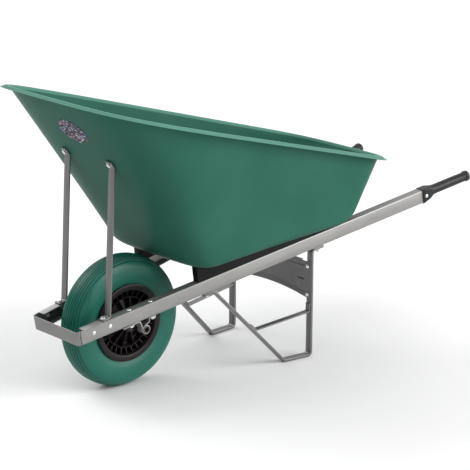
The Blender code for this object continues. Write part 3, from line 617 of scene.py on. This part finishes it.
def build_axle():
    place = Matrix.Translation(AXLE)
    bore, end, c = 0.0085, AXLE_HALF_LEN, 0.0006
    profile = [(-end + c, bore), (end - c, bore), (end, bore + c), (end, AXLE_R - c), (end - c, AXLE_R),
               (-end + c, AXLE_R), (-end, AXLE_R - c), (-end, bore + c)]
    settle(new_mesh("axle_fine", *lathe(profile, 64), BAR_STEEL_WITH_PAINTED_SHADE, place), "axle_tube")
    for _, label in SIDES:
        inner, outer = (corner.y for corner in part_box("axle_spacer_" + label))
        profile = [(inner + c, AXLE_R + GAP), (outer - c, AXLE_R + GAP), (outer, AXLE_R + GAP + c),
                   (outer, SPACER_R - c), (outer - c, SPACER_R), (inner + c, SPACER_R), (inner, SPACER_R - c),
                   (inner, AXLE_R + GAP + c)]
        settle(new_mesh("spacer_fine_" + label, *lathe(profile, 64), RIM_BLACK, place), "axle_spacer_" + label)


# ---------------------------------------------------------------- frame

def channel_section():
    """Folded channel: web at y 0, flanges pointing inboard, with rounded folds."""
    b, h, t = RAIL_FLANGE, RAIL_H, RAIL_T
    radius = 0.0036
    outer = bent_path([(b, 0.0), (0.0, 0.0), (0.0, h), (b, h)], radius, 6)
    inner = bent_path([(b, h - t), (t, h - t), (t, t), (b, t)], radius - t, 4)
    return [tuple(p) for p in outer] + [tuple(p) for p in inner]


def build_rail(side, label):
    outline = [(inward(side, y), z) for y, z in channel_section()]
    verts, faces = prism(outline, RAIL_START, RAIL_END, "yz")
    rail = new_mesh("channel_" + label, verts, faces, STEEL, rail_frame(side))
    ys = sorted((inward(side, RAIL_T + 0.0002), inward(side, RAIL_FLANGE + 0.005)))
    corners = [(-0.01, ys[0]), (FLANGE_START, ys[0]), (FLANGE_START, ys[1]), (-0.01, ys[1])]
    verts, faces = prism(corners, -0.01, RAIL_H + 0.01, "xy")
    notch = new_mesh("notch", verts, faces, STEEL, rail_frame(side))
    end = RAIL_END + 0.01
    corner = [(GRIP_START, 0), (GRIP_START, -0.01), (end, -0.01), (end, SLANT * (end - GRIP_START))]
    slant = new_mesh("slant", *prism(corner, -0.1, 0.1), STEEL, rail_frame(side))
    combine(rail, [notch, slant], 'DIFFERENCE')
    bevel(rail, 0.0005, 2, 60.0)
    settle(rail, "rail_" + label, smooth=30.0)


def build_nose_strap():
    inset = RAIL_T + GAP + STRAP_T / 2
    spread = math.tan(RAIL_SPLAY)

    def arm_y(x):
        return NOSE_HALF_W + x * spread - inset / math.cos(RAIL_SPLAY)
    front = STRAP_T / 2
    points = [(STRAP_ARM, -arm_y(STRAP_ARM)), (front, -arm_y(front)), (front, arm_y(front)),
              (STRAP_ARM, arm_y(STRAP_ARM))]
    verts, faces = prism(strip_outline(points, STRAP_BEND_R, STRAP_T), 0.0, RAIL_H, "xy")
    strap = new_mesh("nose_band", verts, faces, SHADED_STRAP_STEEL, slope_frame())
    clear = RAIL_T + GAP
    start = FLANGE_START - 0.0015
    cutters = []
    for low, high in ((-0.01, clear), (RAIL_H - clear, RAIL_H + 0.01)):
        corners = [(start, -0.2), (STRAP_ARM + 0.02, -0.2), (STRAP_ARM + 0.02, 0.2), (start, 0.2)]
        cutters.append(new_mesh("trim", *prism(corners, low, high, "xy"), STEEL, slope_frame()))
    combine(strap, cutters, 'DIFFERENCE')
    bevel(strap, 0.0006, 2, 60.0)
    settle(strap, "nose_strap", smooth=30.0)


def build_bracket(side, label):
    """Flat bar folded under the rail, with the eye that holds the axle."""
    place = slope_frame()
    axle = place.inverted() @ AXLE
    ax, az = axle.x, axle.z
    outer_y = web_y(AXLE_X - 0.04) - 0.0010
    ys = sorted((side * outer_y, side * (outer_y - BRACKET_W)))
    top = -GAP - BRACKET_T / 2

    def folded(points):
        return prism(strip_outline(points, BRACKET_BEND_R, BRACKET_T), *ys)
    front = [(ax - 0.078, top), (ax - 0.0175, top), (ax - 0.0115, az + 0.0075)]
    rear = [(ax + 0.052, top), (ax + 0.0175, top), (ax + 0.0165, az + 0.0200), (ax - 0.0050, az + 0.0125)]
    bracket = new_mesh("eye_bar_" + label, *folded(front), STEEL, place)
    hoop_place = place @ Matrix.Translation((ax, 0, az))
    hoop = [(ys[0], AXLE_R - 0.001), (ys[1], AXLE_R - 0.001), (ys[1], EYE_R), (ys[0], EYE_R)]
    ring = new_mesh("ring", *lathe(hoop, 72), STEEL, hoop_place)
    back = new_mesh("back", *folded(rear), STEEL, place)
    combine(bracket, [back, ring], 'UNION')
    circle = [(math.cos(math.tau * k / 72), math.sin(math.tau * k / 72)) for k in range(72)]
    outline = [(x * (AXLE_R + GAP), z * (AXLE_R + GAP)) for x, z in circle]
    combine(bracket, [new_mesh("bore", *prism(outline, -0.3, 0.3), STEEL, hoop_place)], 'DIFFERENCE')
    bevel(bracket, 0.0005, 2, 50.0)
    settle(bracket, "axle_bracket_" + label, smooth=30.0)


def build_wedge(side, label):
    clear = GAP / math.cos(RAIL_PITCH)
    corners = [(WEDGE_FRONT_X + 0.0075, rail_top_z, clear), (WEDGE_REAR_X, rail_top_z, clear),
               (WEDGE_REAR_X, floor_z, -clear), (WEDGE_FRONT_X, floor_z, -clear)]
    rings = []
    for inboard in (0.0015, 0.0015 + WEDGE_W):
        rings.append([(x, side * (web_y(x) - inboard), height(x) + gap) for x, height, gap in corners])
    wedge = new_mesh("wedge_block_" + label, *stack_rings(rings), WEDGE_BLACK)
    bevel(wedge, 0.0015, 3, 20.0)
    settle(wedge, "wedge_" + label, smooth=30.0)


def strut_mid_y():
    return web_y(STRUT_FOOT_X) - 0.0005 - STRUT_W / 2


def strut_points(mid_y):
    """Centre line of the strut: foot, its bend, the bend at the tray and the tab's tip."""
    foot_z = rail_top_z(STRUT_FOOT_X) + (STRUT_T / 2 + SEAT) / math.cos(RAIL_PITCH)
    bend_z = foot_z + (STRUT_BEND_X - STRUT_FOOT_X) * math.tan(RAIL_PITCH)
    edge_y, climb = mid_y - STRUT_W / 2, 0.030
    low, high = front_wall(edge_y, STRUT_TOP_Z), front_wall(edge_y, STRUT_TOP_Z + climb)
    wall = Vector((high - low, climb)).normalized()
    top = Vector((low, STRUT_TOP_Z)) + Vector((-wall.y, wall.x)) * (STRUT_T / 2 + STRUT_OFF_TRAY)
    return [(STRUT_FOOT_X, foot_z), (STRUT_BEND_X, bend_z), tuple(top), tuple(top + wall * STRUT_TAB)]


def build_strut(side, label):
    mid_y = strut_mid_y()
    outline = strip_outline(strut_points(mid_y), STRUT_BEND_R, STRUT_T)
    ys = sorted((side * (mid_y - STRUT_W / 2), side * (mid_y + STRUT_W / 2)))
    settle(bar("strut_bar_" + label, outline, *ys, BAR_STEEL_WITH_PAINTED_SHADE), "strut_" + label, smooth=30.0)


def leg_frame(side):
    splay = math.atan(math.tan(RAIL_SPLAY) / math.cos(RAIL_PITCH))
    x_dir = (math.cos(splay), side * math.sin(splay), 0)
    return matrix_from((AXLE_X, side * web_y(AXLE_X), 0), x_dir, (0, 0, 1)), math.cos(splay)


def leg_path():
    """Centre line of the leg bar, as distances behind the axle and heights."""
    drop = (LEG_T / 2 + SEAT) / math.cos(RAIL_PITCH)

    def under(x):
        return rail_top_z(AXLE_X + x) - RAIL_H / math.cos(RAIL_PITCH) - drop
    mid = LEG_T / 2
    return [(0.2010, under(0.2010)), (0.2385, under(0.2385)), (0.5010, mid), (0.6010, mid),
            (0.6010, under(0.6010)), (0.6430, under(0.6430))]


def build_leg(side, label):
    place, stretch = leg_frame(side)
    outline = strip_outline([(x / stretch, z) for x, z in leg_path()], LEG_BEND_R, LEG_T)
    ys = sorted((inward(side, LEG_INSET), inward(side, LEG_INSET + LEG_W)))
    settle(bar("leg_bar_" + label, outline, *ys, BAR_STEEL_WITH_PAINTED_SHADE, place, 0.0012), "leg_" + label, smooth=30.0)


def build_brace(side, label):
    place, stretch = leg_frame(side)
    points = [Vector((x / stretch, z)) for x, z in leg_path()]
    top, foot, upright = points[1], points[2], points[3]
    half = LEG_T / 2 + BRACE_T / 2 + SEAT
    rake = (top - foot).normalized()
    behind = Vector((rake.y, -rake.x))
    low = foot + rake * ((BRACE_LOW_Z - foot.y) / rake.y) + behind * half
    end_x = upright.x - half
    path = [low + rake * BRACE_TAB, low, (end_x, BRACE_HIGH_Z), (end_x, BRACE_HIGH_Z + BRACE_TAB)]
    outline = strip_outline(path, BRACE_BEND_R, BRACE_T)
    start = LEG_INSET + (LEG_W - BRACE_W) / 2
    ys = sorted((inward(side, start), inward(side, start + BRACE_W)))
    settle(bar("leg_tie_" + label, outline, *ys, BAR_STEEL_WITH_PAINTED_SHADE, place), "leg_brace_" + label, smooth=30.0)


def build_plate():
    """Pressed plate: arched lower edge with a folded lip, long beads and a short groove at each end."""
    columns, rows = 200, 90
    front, rings = PLATE_X, []

    def bottom(y):
        return PLATE_BOTTOM + PLATE_ARCH * (1 - (y / PLATE_HALF_W) ** 2)

    def relief(y, z):
        """How far the sheet stands forward of its plane."""
        inside = smooth_step(0.172 - abs(y), 0.0, 0.008)
        height = 0.0022 * math.exp(-((z - 0.2860) / 0.0022) ** 2) * inside
        for lift in (0.0060, 0.0130):
            height += 0.0020 * math.exp(-((z - bottom(y) - lift) / 0.0018) ** 2) * inside
        across = smooth_step(0.016 - abs(abs(y) - 0.145), 0.0, 0.003)
        return height - 0.0045 * math.exp(-((z - 0.2457) / 0.0022) ** 4) * across
    for c in range(columns + 1):
        y = PLATE_HALF_W * (2 * c / columns - 1)
        z0 = bottom(y)
        column = []
        for r in range(rows + 1):
            z = z0 + (PLATE_TOP - z0) * r / rows
            column.append((front - relief(y, z) * 0.5 + 0.0012, y, z))
        back = [(x + PLATE_T - 0.0004, y_, z_) for x, y_, z_ in column]
        lip_share = smooth_step(0.150 - abs(y), 0.0, 0.006)
        top_x = front + PLATE_T + 0.011 * lip_share
        low_x = front + PLATE_T + 0.008 * lip_share
        ring = ([(low_x, y, z0 - 0.0001)] + column + [(top_x, y, PLATE_TOP)]
                + [(top_x, y, PLATE_TOP - 0.0016)] + back[::-1][1:-1] + [(low_x, y, z0 + 0.0016)])
        rings.append(ring)
    plate = new_mesh("plate_pressing", *stack_rings(rings), BAR_STEEL_WITH_PAINTED_SHADE)
    settle(plate, "cross_plate", smooth=40.0)


def smooth_step(value, low, high):
    t = min(1.0, max(0.0, (value - low) / (high - low)))
    return t * t * (3 - 2 * t)


# ---------------------------------------------------------------- tray

def outline_point(shape, turn):
    """Plan point for turn 0..1 along one side, from the front centre to the rear centre."""
    front, rear = shape["front"], shape["rear"]
    ends = (front + shape["cap_front"], rear - shape["cap_rear"])

    def half_width(x):
        return shape["w_front"] + (shape["w_rear"] - shape["w_front"]) * (x - front) / (rear - front)
    if turn < FRONT_TURN:
        angle = turn / FRONT_TURN * math.pi / 2
        power = 2 / shape["n_front"]
        x = front + shape["cap_front"] * (1 - math.cos(angle) ** power)
        return x, half_width(x) * math.sin(angle) ** power
    if turn > REAR_TURN:
        angle = (1 - turn) / (1 - REAR_TURN) * math.pi / 2
        power = 2 / shape["n_rear"]
        x = rear - shape["cap_rear"] * (1 - math.cos(angle) ** power)
        return x, half_width(x) * math.sin(angle) ** power
    x = ends[0] + (ends[1] - ends[0]) * (turn - FRONT_TURN) / (REAR_TURN - FRONT_TURN)
    return x, half_width(x)


def plan_outline(shape, offset=0.0, half_steps=100):
    """Closed plan outline, front centre first, moved inwards by offset."""
    side = [outline_point(shape, k / half_steps) for k in range(half_steps + 1)]
    ring = [(x, -y) for x, y in side] + [(x, y) for x, y in side[-2:0:-1]]
    if not offset:
        return [Vector(p) for p in ring]
    moved = []
    for k, here in enumerate(ring):
        run = Vector(ring[(k + 1) % len(ring)]) - Vector(ring[k - 1])
        run.normalize()
        moved.append(Vector(here) + Vector((-run.y, run.x)) * offset)
    return moved


def rim_z(x):
    share = (x - RIM["front"]) / (RIM["rear"] - RIM["front"])
    return RIM_Z_FRONT + (RIM_Z_REAR - RIM_Z_FRONT) * share


def floor_z(x):
    knee_z = rail_top_z(FLOOR_KNEE_X) + 0.0010
    level = (knee_z - FLOOR_Z_FRONT) / (FLOOR_KNEE_X - FLOOR["front"])
    if x < FLOOR_KNEE_X:
        return FLOOR_Z_FRONT + level * (x - FLOOR["front"])
    return knee_z + math.tan(RAIL_PITCH) * (x - FLOOR_KNEE_X)


def wall_rings(offset_low, offset_high, lift, drop, fillet, steps=12, wall_steps=10):
    """Rings from the floor's middle over the fillet and up the wall, for one skin of the tray."""
    base = plan_outline(FLOOR, offset_low)
    top = plan_outline(RIM, offset_high)
    centre = Vector(((FLOOR["front"] + FLOOR["rear"]) / 2, 0))
    rings = []
    for share in (0.15, 0.3, 0.45, 0.6, 0.72):
        plan = [centre + (p - centre) * share for p in base]
        rings.append([(p.x, p.y, floor_z(p.x) + lift) for p in plan])
    corner = [Vector((p.x, p.y, floor_z(p.x) + lift)) for p in base]
    crest = [Vector((p.x, p.y, rim_z(p.x) - drop)) for p in top]
    for k in range(steps + 1):
        t = k / steps
        ring = []
        for c, r, p in zip(corner, crest, base):
            inner = p + (centre - p).normalized() * fillet
            start = Vector((inner.x, inner.y, floor_z(inner.x) + lift))
            end = c + (r - c).normalized() * fillet
            ring.append(tuple(start * (1 - t) ** 2 + c * 2 * t * (1 - t) + end * t * t))
        rings.append(ring)
    ends = rings[-1]
    for k in range(1, wall_steps + 1):
        rings.append([tuple(Vector(a).lerp(b, k / wall_steps)) for a, b in zip(ends, crest)])
    return rings


def front_wall(y, z):
    """World x of the tray's outer front wall at this y and z."""
    rings = wall_rings(0.0, TRAY_LIP, 0.0, TRAY_LIP_DROP, TRAY_FILLET, wall_steps=1)
    level = []
    for a, b in zip(rings[-2], rings[-1]):
        if a[2] <= z <= b[2]:
            share = (z - a[2]) / (b[2] - a[2])
            level.append((a[1] + (b[1] - a[1]) * share, a[0] + (b[0] - a[0]) * share))
    level = sorted(p for p in level if p[1] < AXLE_X + 0.15)
    for (y0, x0), (y1, x1) in zip(level, level[1:]):
        if y0 <= y <= y1:
            return x0 + (x1 - x0) * (y - y0) / (y1 - y0)
    return level[-1][1]


def build_tray():
    outer = wall_rings(0.0, TRAY_LIP, 0.0, TRAY_LIP_DROP, TRAY_FILLET)
    lip_corners = [(0.0265, 0.0062), (0.0230, 0.0042), (0.0170, 0.0036), (0.0130, 0.0058), (0.0100, 0.0092),
                   (0.0020, 0.0096), (0.0, 0.0088), (0.0, 0.0078), (0.0020, 0.0068), (0.0066, 0.0060),
                   (0.0100, 0.0030), (0.0140, 0.0008), (0.0190, 0.0), (0.0270, 0.0), (0.0312, 0.0026)]
    lip = smooth_curve([Vector(p) for p in lip_corners], 3)
    rings = list(outer)
    for p in lip:
        rings.append([(q.x, q.y, rim_z(q.x) - p.y) for q in plan_outline(RIM, p.x)])
    inner = wall_rings(TRAY_WALL, TRAY_LIP + TRAY_WALL, TRAY_WALL, TRAY_LIP_DROP, TRAY_FILLET)
    rings += inner[::-1]
    verts, faces = stack_rings(rings, closed_ends=False)
    count = len(rings[0])
    centre_x = (FLOOR["front"] + FLOOR["rear"]) / 2
    for ring_start, lift in ((0, 0.0), ((len(rings) - 1) * count, TRAY_WALL)):
        verts.append((centre_x, 0, floor_z(centre_x) + lift))
        hub = len(verts) - 1
        faces += [(hub, ring_start + k, ring_start + (k + 1) % count) for k in range(count)]
    settle(new_mesh("tray_shell", verts, faces, TRAY_GREEN), "tray", smooth=70.0)


def build_decal():
    """Plain oval sticker on the tray's front wall."""
    half_w, half_h, rings = 0.060, 0.036, []
    steps = 64
    mid_y, mid_z = -0.008, 0.796
    for share in (0.35, 0.7, 1.0):
        ring = []
        for k in range(steps):
            turn = math.tau * k / steps
            y, z = mid_y + half_w * share * math.cos(turn), mid_z + half_h * share * math.sin(turn)
            ring.append((front_wall(y, z) - 0.0009, y, z))
        rings.append(ring)
    verts, faces = stack_rings(rings, closed_ends=False)
    faces.append(tuple(range(steps)))
    decal = new_mesh("oval_decal", verts, faces, decal_material())
    mod = decal.modifiers.new("thickness", 'SOLIDIFY')
    mod.thickness = 0.0004
    apply_modifiers(decal)
    settle(decal, None)


# ---------------------------------------------------------------- grips and fasteners

def build_grip(side, label):
    middle = RAIL_FLANGE / 2
    hand = (GRIP_AXIS, GRIP_R, GRIP_R)
    collar = (GRIP_AXIS, GRIP_COLLAR_R, GRIP_COLLAR_R, 2)
    sections = [(GRIP_START, 0.02115, SLEEVE_HALF_W, 0.02365, 10),
                (RAIL_END, 0.0247, SLEEVE_HALF_W, 0.0199, 10),
                (GRIP_START + 0.032, 0.0250, 0.0171, 0.0190, 6), (GRIP_START + 0.038, 0.0253, 0.0166, 0.0174, 4),
                (GRIP_START + 0.044, 0.0256, 0.0160, 0.0158, 3),
                (GRIP_START + 0.052, GRIP_AXIS, 0.0154, 0.0152, 2.4), (GRIP_START + 0.062, *hand, 2.2),
                (GRIP_END - 0.0550, GRIP_AXIS, 0.0153, 0.0153, 2), (GRIP_END - 0.0170, *hand, 2),
                (GRIP_END - 0.0150, GRIP_AXIS, 0.0154, 0.0154, 2),
                (GRIP_END - 0.0135, GRIP_AXIS, 0.0168, 0.0168, 2), (GRIP_END - 0.0120, *collar),
                (GRIP_END - 0.0040, *collar), (GRIP_END - 0.0012, GRIP_AXIS, 0.0160, 0.0160, 2),
                (GRIP_END, GRIP_AXIS, 0.0130, 0.0130, 2)]
    steps = 72
    rings = []
    for along, height, half_w, half_h, power in sections:
        ring = []
        for k in range(steps):
            turn = 2 * math.pi * (k + 0.5) / steps
            c, s = math.cos(turn), math.sin(turn)
            y = math.copysign(abs(c) ** (2 / power), c) * half_w
            z = math.copysign(abs(s) ** (2 / power), s) * half_h
            ring.append((along, inward(side, middle) + y, height + z))
        rings.append(ring)
    grip = new_mesh("grip_moulding_" + label, *stack_rings(rings), GRIP_BLACK, rail_frame(side))
    ys = sorted((inward(side, -GAP), inward(side, RAIL_FLANGE + GAP)))
    mouth, end, roof = GRIP_START - 0.01, RAIL_END + GAP, RAIL_H + GAP
    profile = [(mouth, -GAP), (GRIP_START, -GAP), (end, SLANT * (end - GRIP_START) - GAP), (end, roof),
               (mouth, roof)]
    pocket = new_mesh("pocket", *prism(profile, *ys), GRIP_BLACK, rail_frame(side))
    combine(grip, [pocket], 'DIFFERENCE')
    bevel(grip, 0.0007, 2, 50.0)
    settle(grip, "grip_" + label, smooth=40.0)


def round_ring(radius, z, steps=48):
    return [(radius * math.cos(math.tau * k / steps), radius * math.sin(math.tau * k / steps), z)
            for k in range(steps)]


def hex_ring(radius, z, steps=48):
    """Hexagon whose sides are split, so that it can be skinned to a round ring."""
    ring = []
    for k in range(steps):
        turn = math.tau * k / steps
        off = (turn % (math.pi / 3)) - math.pi / 6
        r = radius * math.cos(math.pi / 6) / math.cos(off)
        ring.append((r * math.cos(turn), r * math.sin(turn), z))
    return ring


def build_fastener(name, start, direction, grip, head="dome", nut=True, shank_r=0.004,
                   head_r=0.0080, head_h=0.0042, nut_r=0.0075, nut_h=0.0065, tail=0.004):
    """Bolt with its nut. The head sits at the start point, and the shank runs along direction."""
    z_axis = Vector(direction).normalized()
    x_hint = Vector((0, 1, 0)) if abs(z_axis.y) < 0.8 else Vector((1, 0, 0))
    x_axis = (x_hint - z_axis * x_hint.dot(z_axis)).normalized()
    place = matrix_from(start, x_axis, z_axis)
    seat = -GAP
    if head == "dome":
        rings = [round_ring(head_r * math.sin(a) + 0.0001, seat - head_h * math.cos(a) * 0.9 - head_h * 0.1)
                 for a in (0.12, 0.35, 0.6, 0.85, 1.1, 1.3, 1.5)]
        rings += [round_ring(head_r, seat - head_h * 0.04), round_ring(head_r, seat)]
    elif head == "hex":
        top = seat - head_h
        rings = [round_ring(head_r * 0.55, top), round_ring(head_r * 0.82, top),
                 hex_ring(head_r * 0.995, top + head_h * 0.14), hex_ring(head_r, top + head_h * 0.2),
                 hex_ring(head_r, seat - 0.0008), round_ring(head_r * 1.08, seat - 0.0007),
                 round_ring(head_r * 1.1, seat)]
    else:
        rings = [round_ring(head_r * 0.4, seat - head_h), round_ring(head_r * 0.88, seat - head_h),
                 round_ring(head_r, seat - head_h * 0.6), round_ring(head_r, seat)]
    rings.append(round_ring(shank_r, seat))
    end = grip + GAP
    if nut:
        rings += [round_ring(shank_r, end), hex_ring(nut_r * 0.96, end), hex_ring(nut_r, end + nut_h * 0.12),
                  hex_ring(nut_r, end + nut_h * 0.88), round_ring(nut_r * 0.84, end + nut_h),
                  round_ring(shank_r, end + nut_h)]
        z, turns = end + nut_h, 4
        for k in range(turns):
            pitch = tail / turns
            rings.append(round_ring(shank_r * 0.86, z + pitch * (k + 0.5)))
            rings.append(round_ring(shank_r, z + pitch * (k + 0.95)))
    else:
        rings.append(round_ring(shank_r, end + tail))
    obj = new_mesh(name + "_fine", *stack_rings(rings), ZINC, place)
    settle(obj, name, smooth=32.0)


def tray_inside_z(x, y):
    x_share = (x - FLOOR["front"]) / (FLOOR["rear"] - FLOOR["front"])
    half = FLOOR["w_front"] + (FLOOR["w_rear"] - FLOOR["w_front"]) * x_share
    past = max(0.0, y + 0.010 - (half - TRAY_WALL - TRAY_FILLET))
    return floor_z(x) + TRAY_WALL + 0.6 * past * past / TRAY_FILLET


def build_fasteners(side, label):
    into = rail_point(side, 0, 1, 0) - rail_point(side, 0, 0, 0)
    down = rail_point(side, 0, 0, -1) - rail_point(side, 0, 0, 0)
    for k, along in enumerate((0.054, 0.110), 1):
        build_fastener("nose_bolt_%s_%d" % (label, k), rail_point(side, along, 0, RAIL_H * 0.54), into,
                       RAIL_T + GAP + STRAP_T, head_r=0.0062, head_h=0.0026, shank_r=0.003, nut_r=0.0065,
                       nut_h=0.005, tail=0.002)
    for k, along in enumerate((0.1860, 0.2600), 1):
        build_fastener("bracket_bolt_%s_%d" % (label, k), rail_point(side, along, 0.0125, RAIL_H), down,
                       RAIL_H + GAP + BRACKET_T, head_r=0.0078, head_h=0.0040, nut_r=0.0100)
    mid_y = strut_mid_y()
    points = strut_points(mid_y)
    foot_x = (points[0][0] + points[1][0]) / 2 - 0.0035
    lift = STRUT_T + SEAT
    foot_top = Vector((foot_x, side * mid_y, rail_top_z(foot_x))) - down * lift
    build_fastener("strut_foot_bolt_" + label, foot_top, down, lift + RAIL_T, head="hex", head_r=0.0075,
                   head_h=0.0048, nut_h=0.0055, tail=0.002)
    wall = (Vector(points[3]) - Vector(points[2])).normalized()
    off = Vector((-wall.y, wall.x)) * (STRUT_T / 2 + STRUT_OFF_TRAY)
    bolt_at = Vector(points[2]) - off + wall * STRUT_TAB * 0.56
    outward = Vector((-wall.y, 0, wall.x))
    start = Vector((bolt_at.x, side * mid_y, bolt_at.y)) + outward * (STRUT_T + 0.0012)
    build_fastener("strut_top_bolt_" + label, start, -outward, STRUT_T + 0.0012 + 0.0110, head="hex",
                   head_r=0.0078, head_h=0.0052, nut_r=0.0080, nut_h=0.0040, tail=0.0015)
    for k, along in enumerate((0.4560, 0.8750), 1):
        build_fastener("leg_bolt_%s_%d" % (label, k), rail_point(side, along, 0.0140, RAIL_T), down,
                       RAIL_T + GAP + LEG_T + 0.0004, head_r=0.0075, head_h=0.0038)
    leg_y = web_y(AXLE_X + 0.597) - LEG_INSET - LEG_W / 2 - 0.0010
    for k, height in enumerate((0.2890, 0.1985), 1):
        build_fastener("plate_bolt_%s_%d" % (label, k), Vector((PLATE_X, side * leg_y, height)), (1, 0, 0),
                       PLATE_T + LEG_T + 0.0045, head="hex", head_r=0.0062, head_h=0.0036, shank_r=0.003,
                       nut_r=0.0065, nut_h=0.0050, tail=0.002)
    for k, x in enumerate((AXLE_X + 0.250, AXLE_X + 0.560), 1):
        y = side * (web_y(x) - 0.0150)
        top = Vector((x, y, tray_inside_z(x, abs(y)) + 0.0012))
        depth = (top.z - rail_top_z(x)) / math.cos(RAIL_PITCH) + RAIL_T
        build_fastener("tray_bolt_%s_%d" % (label, k), top, down, depth, head="flat", head_r=0.0100,
                       head_h=0.0030, nut_h=0.0060, tail=0.003)
    build_fastener("grip_screw_" + label, rail_point(side, GRIP_START + 0.012, -0.0032, RAIL_H * 0.5), into,
                   RAIL_T + 0.0060, nut=False, head_r=0.0055, head_h=0.0022, shank_r=0.0025, tail=0.003)


# ---------------------------------------------------------------- stage, light and camera

def build_floor():
    mesh = bpy.data.meshes.new("floor")
    half = 30.0
    corners = [(-half, -half, 0), (half, -half, 0), (half, half, 0), (-half, half, 0)]
    mesh.from_pydata(corners, [], [(0, 1, 2, 3)])
    mesh.materials.append(floor_material())
    floor = bpy.data.objects.new("floor", mesh)
    bpy.context.scene.collection.objects.link(floor)
    floor.location.z = -0.0005


def sky_lobe(tree, direction, low, high, to_low, to_high):
    """Radiance that rises with the closeness of the looked-at direction to the given one."""
    coords = tree.nodes.new("ShaderNodeTexCoord")
    dot = tree.nodes.new("ShaderNodeVectorMath")
    dot.operation = 'DOT_PRODUCT'
    dot.inputs[1].default_value = Vector(direction).normalized()
    tree.links.new(coords.outputs["Generated"], dot.inputs[0])
    band = tree.nodes.new("ShaderNodeMapRange")
    band.interpolation_type = 'SMOOTHSTEP'
    for key, value in (("From Min", low), ("From Max", high), ("To Min", to_low), ("To Max", to_high)):
        band.inputs[key].default_value = value
    tree.links.new(dot.outputs["Value"], band.inputs["Value"])
    return band.outputs["Result"]


def build_light():
    """Bright studio: dim towards the nose, a soft window behind and above, and a big low key by the handles."""
    world = bpy.data.worlds.new("studio")
    bpy.context.scene.world = world
    world.use_nodes = True
    tree = world.node_tree
    lobes = (((0.25, 0.10, 0.95), -0.05, 1.0, 0.05, 0.80), ((0.12, 0.75, 0.65), 0.80, 0.95, 0.0, 1.0),
             ((-0.26, 0.72, 0.62), 0.95, 0.98, 0.0, 5.0), ((-0.50, -0.10, 0.86), 0.86, 0.97, 0.0, 2.2))
    strength = sky_lobe(tree, *lobes[0])
    for lobe in lobes[1:]:
        total = tree.nodes.new("ShaderNodeMath")
        tree.links.new(strength, total.inputs[0])
        tree.links.new(sky_lobe(tree, *lobe), total.inputs[1])
        strength = total.outputs["Value"]
    tree.links.new(strength, tree.nodes["Background"].inputs["Strength"])
    tree.nodes["Background"].inputs["Color"].default_value = (1.0, 1.0, 1.0, 1.0)
    lamp = bpy.data.lights.new("key", 'SUN')
    lamp.energy = 3.3
    lamp.angle = math.radians(50.0)
    key = bpy.data.objects.new("key", lamp)
    bpy.context.scene.collection.objects.link(key)
    key.rotation_euler = Vector((0.55, -0.75, 0.36)).to_track_quat('Z', 'Y').to_euler()


def build_camera():
    data = bpy.data.cameras.new("camera")
    data.lens = CAMERA_LENS
    data.sensor_width = 36.0
    cam = bpy.data.objects.new("camera", data)
    bpy.context.scene.collection.objects.link(cam)
    cam.location = CAMERA_AT
    level = math.cos(CAMERA_PITCH)
    ahead = Vector((level * math.cos(CAMERA_YAW), level * math.sin(CAMERA_YAW), -math.sin(CAMERA_PITCH)))
    turn = ahead.to_track_quat('-Z', 'Y').to_matrix().to_4x4() @ Matrix.Rotation(CAMERA_ROLL, 4, 'Z')
    cam.rotation_euler = turn.to_euler()
    bpy.context.scene.camera = cam


def main():
    bpy.context.scene.view_settings.view_transform = 'Standard'
    build_wheel()
    build_axle()
    build_tray()
    build_decal()
    build_nose_strap()
    build_plate()
    for side, label in SIDES:
        build_rail(side, label)
        build_bracket(side, label)
        build_wedge(side, label)
        build_strut(side, label)
        build_leg(side, label)
        build_brace(side, label)
        build_grip(side, label)
        build_fasteners(side, label)
    build_floor()
    build_light()
    build_camera()


main()
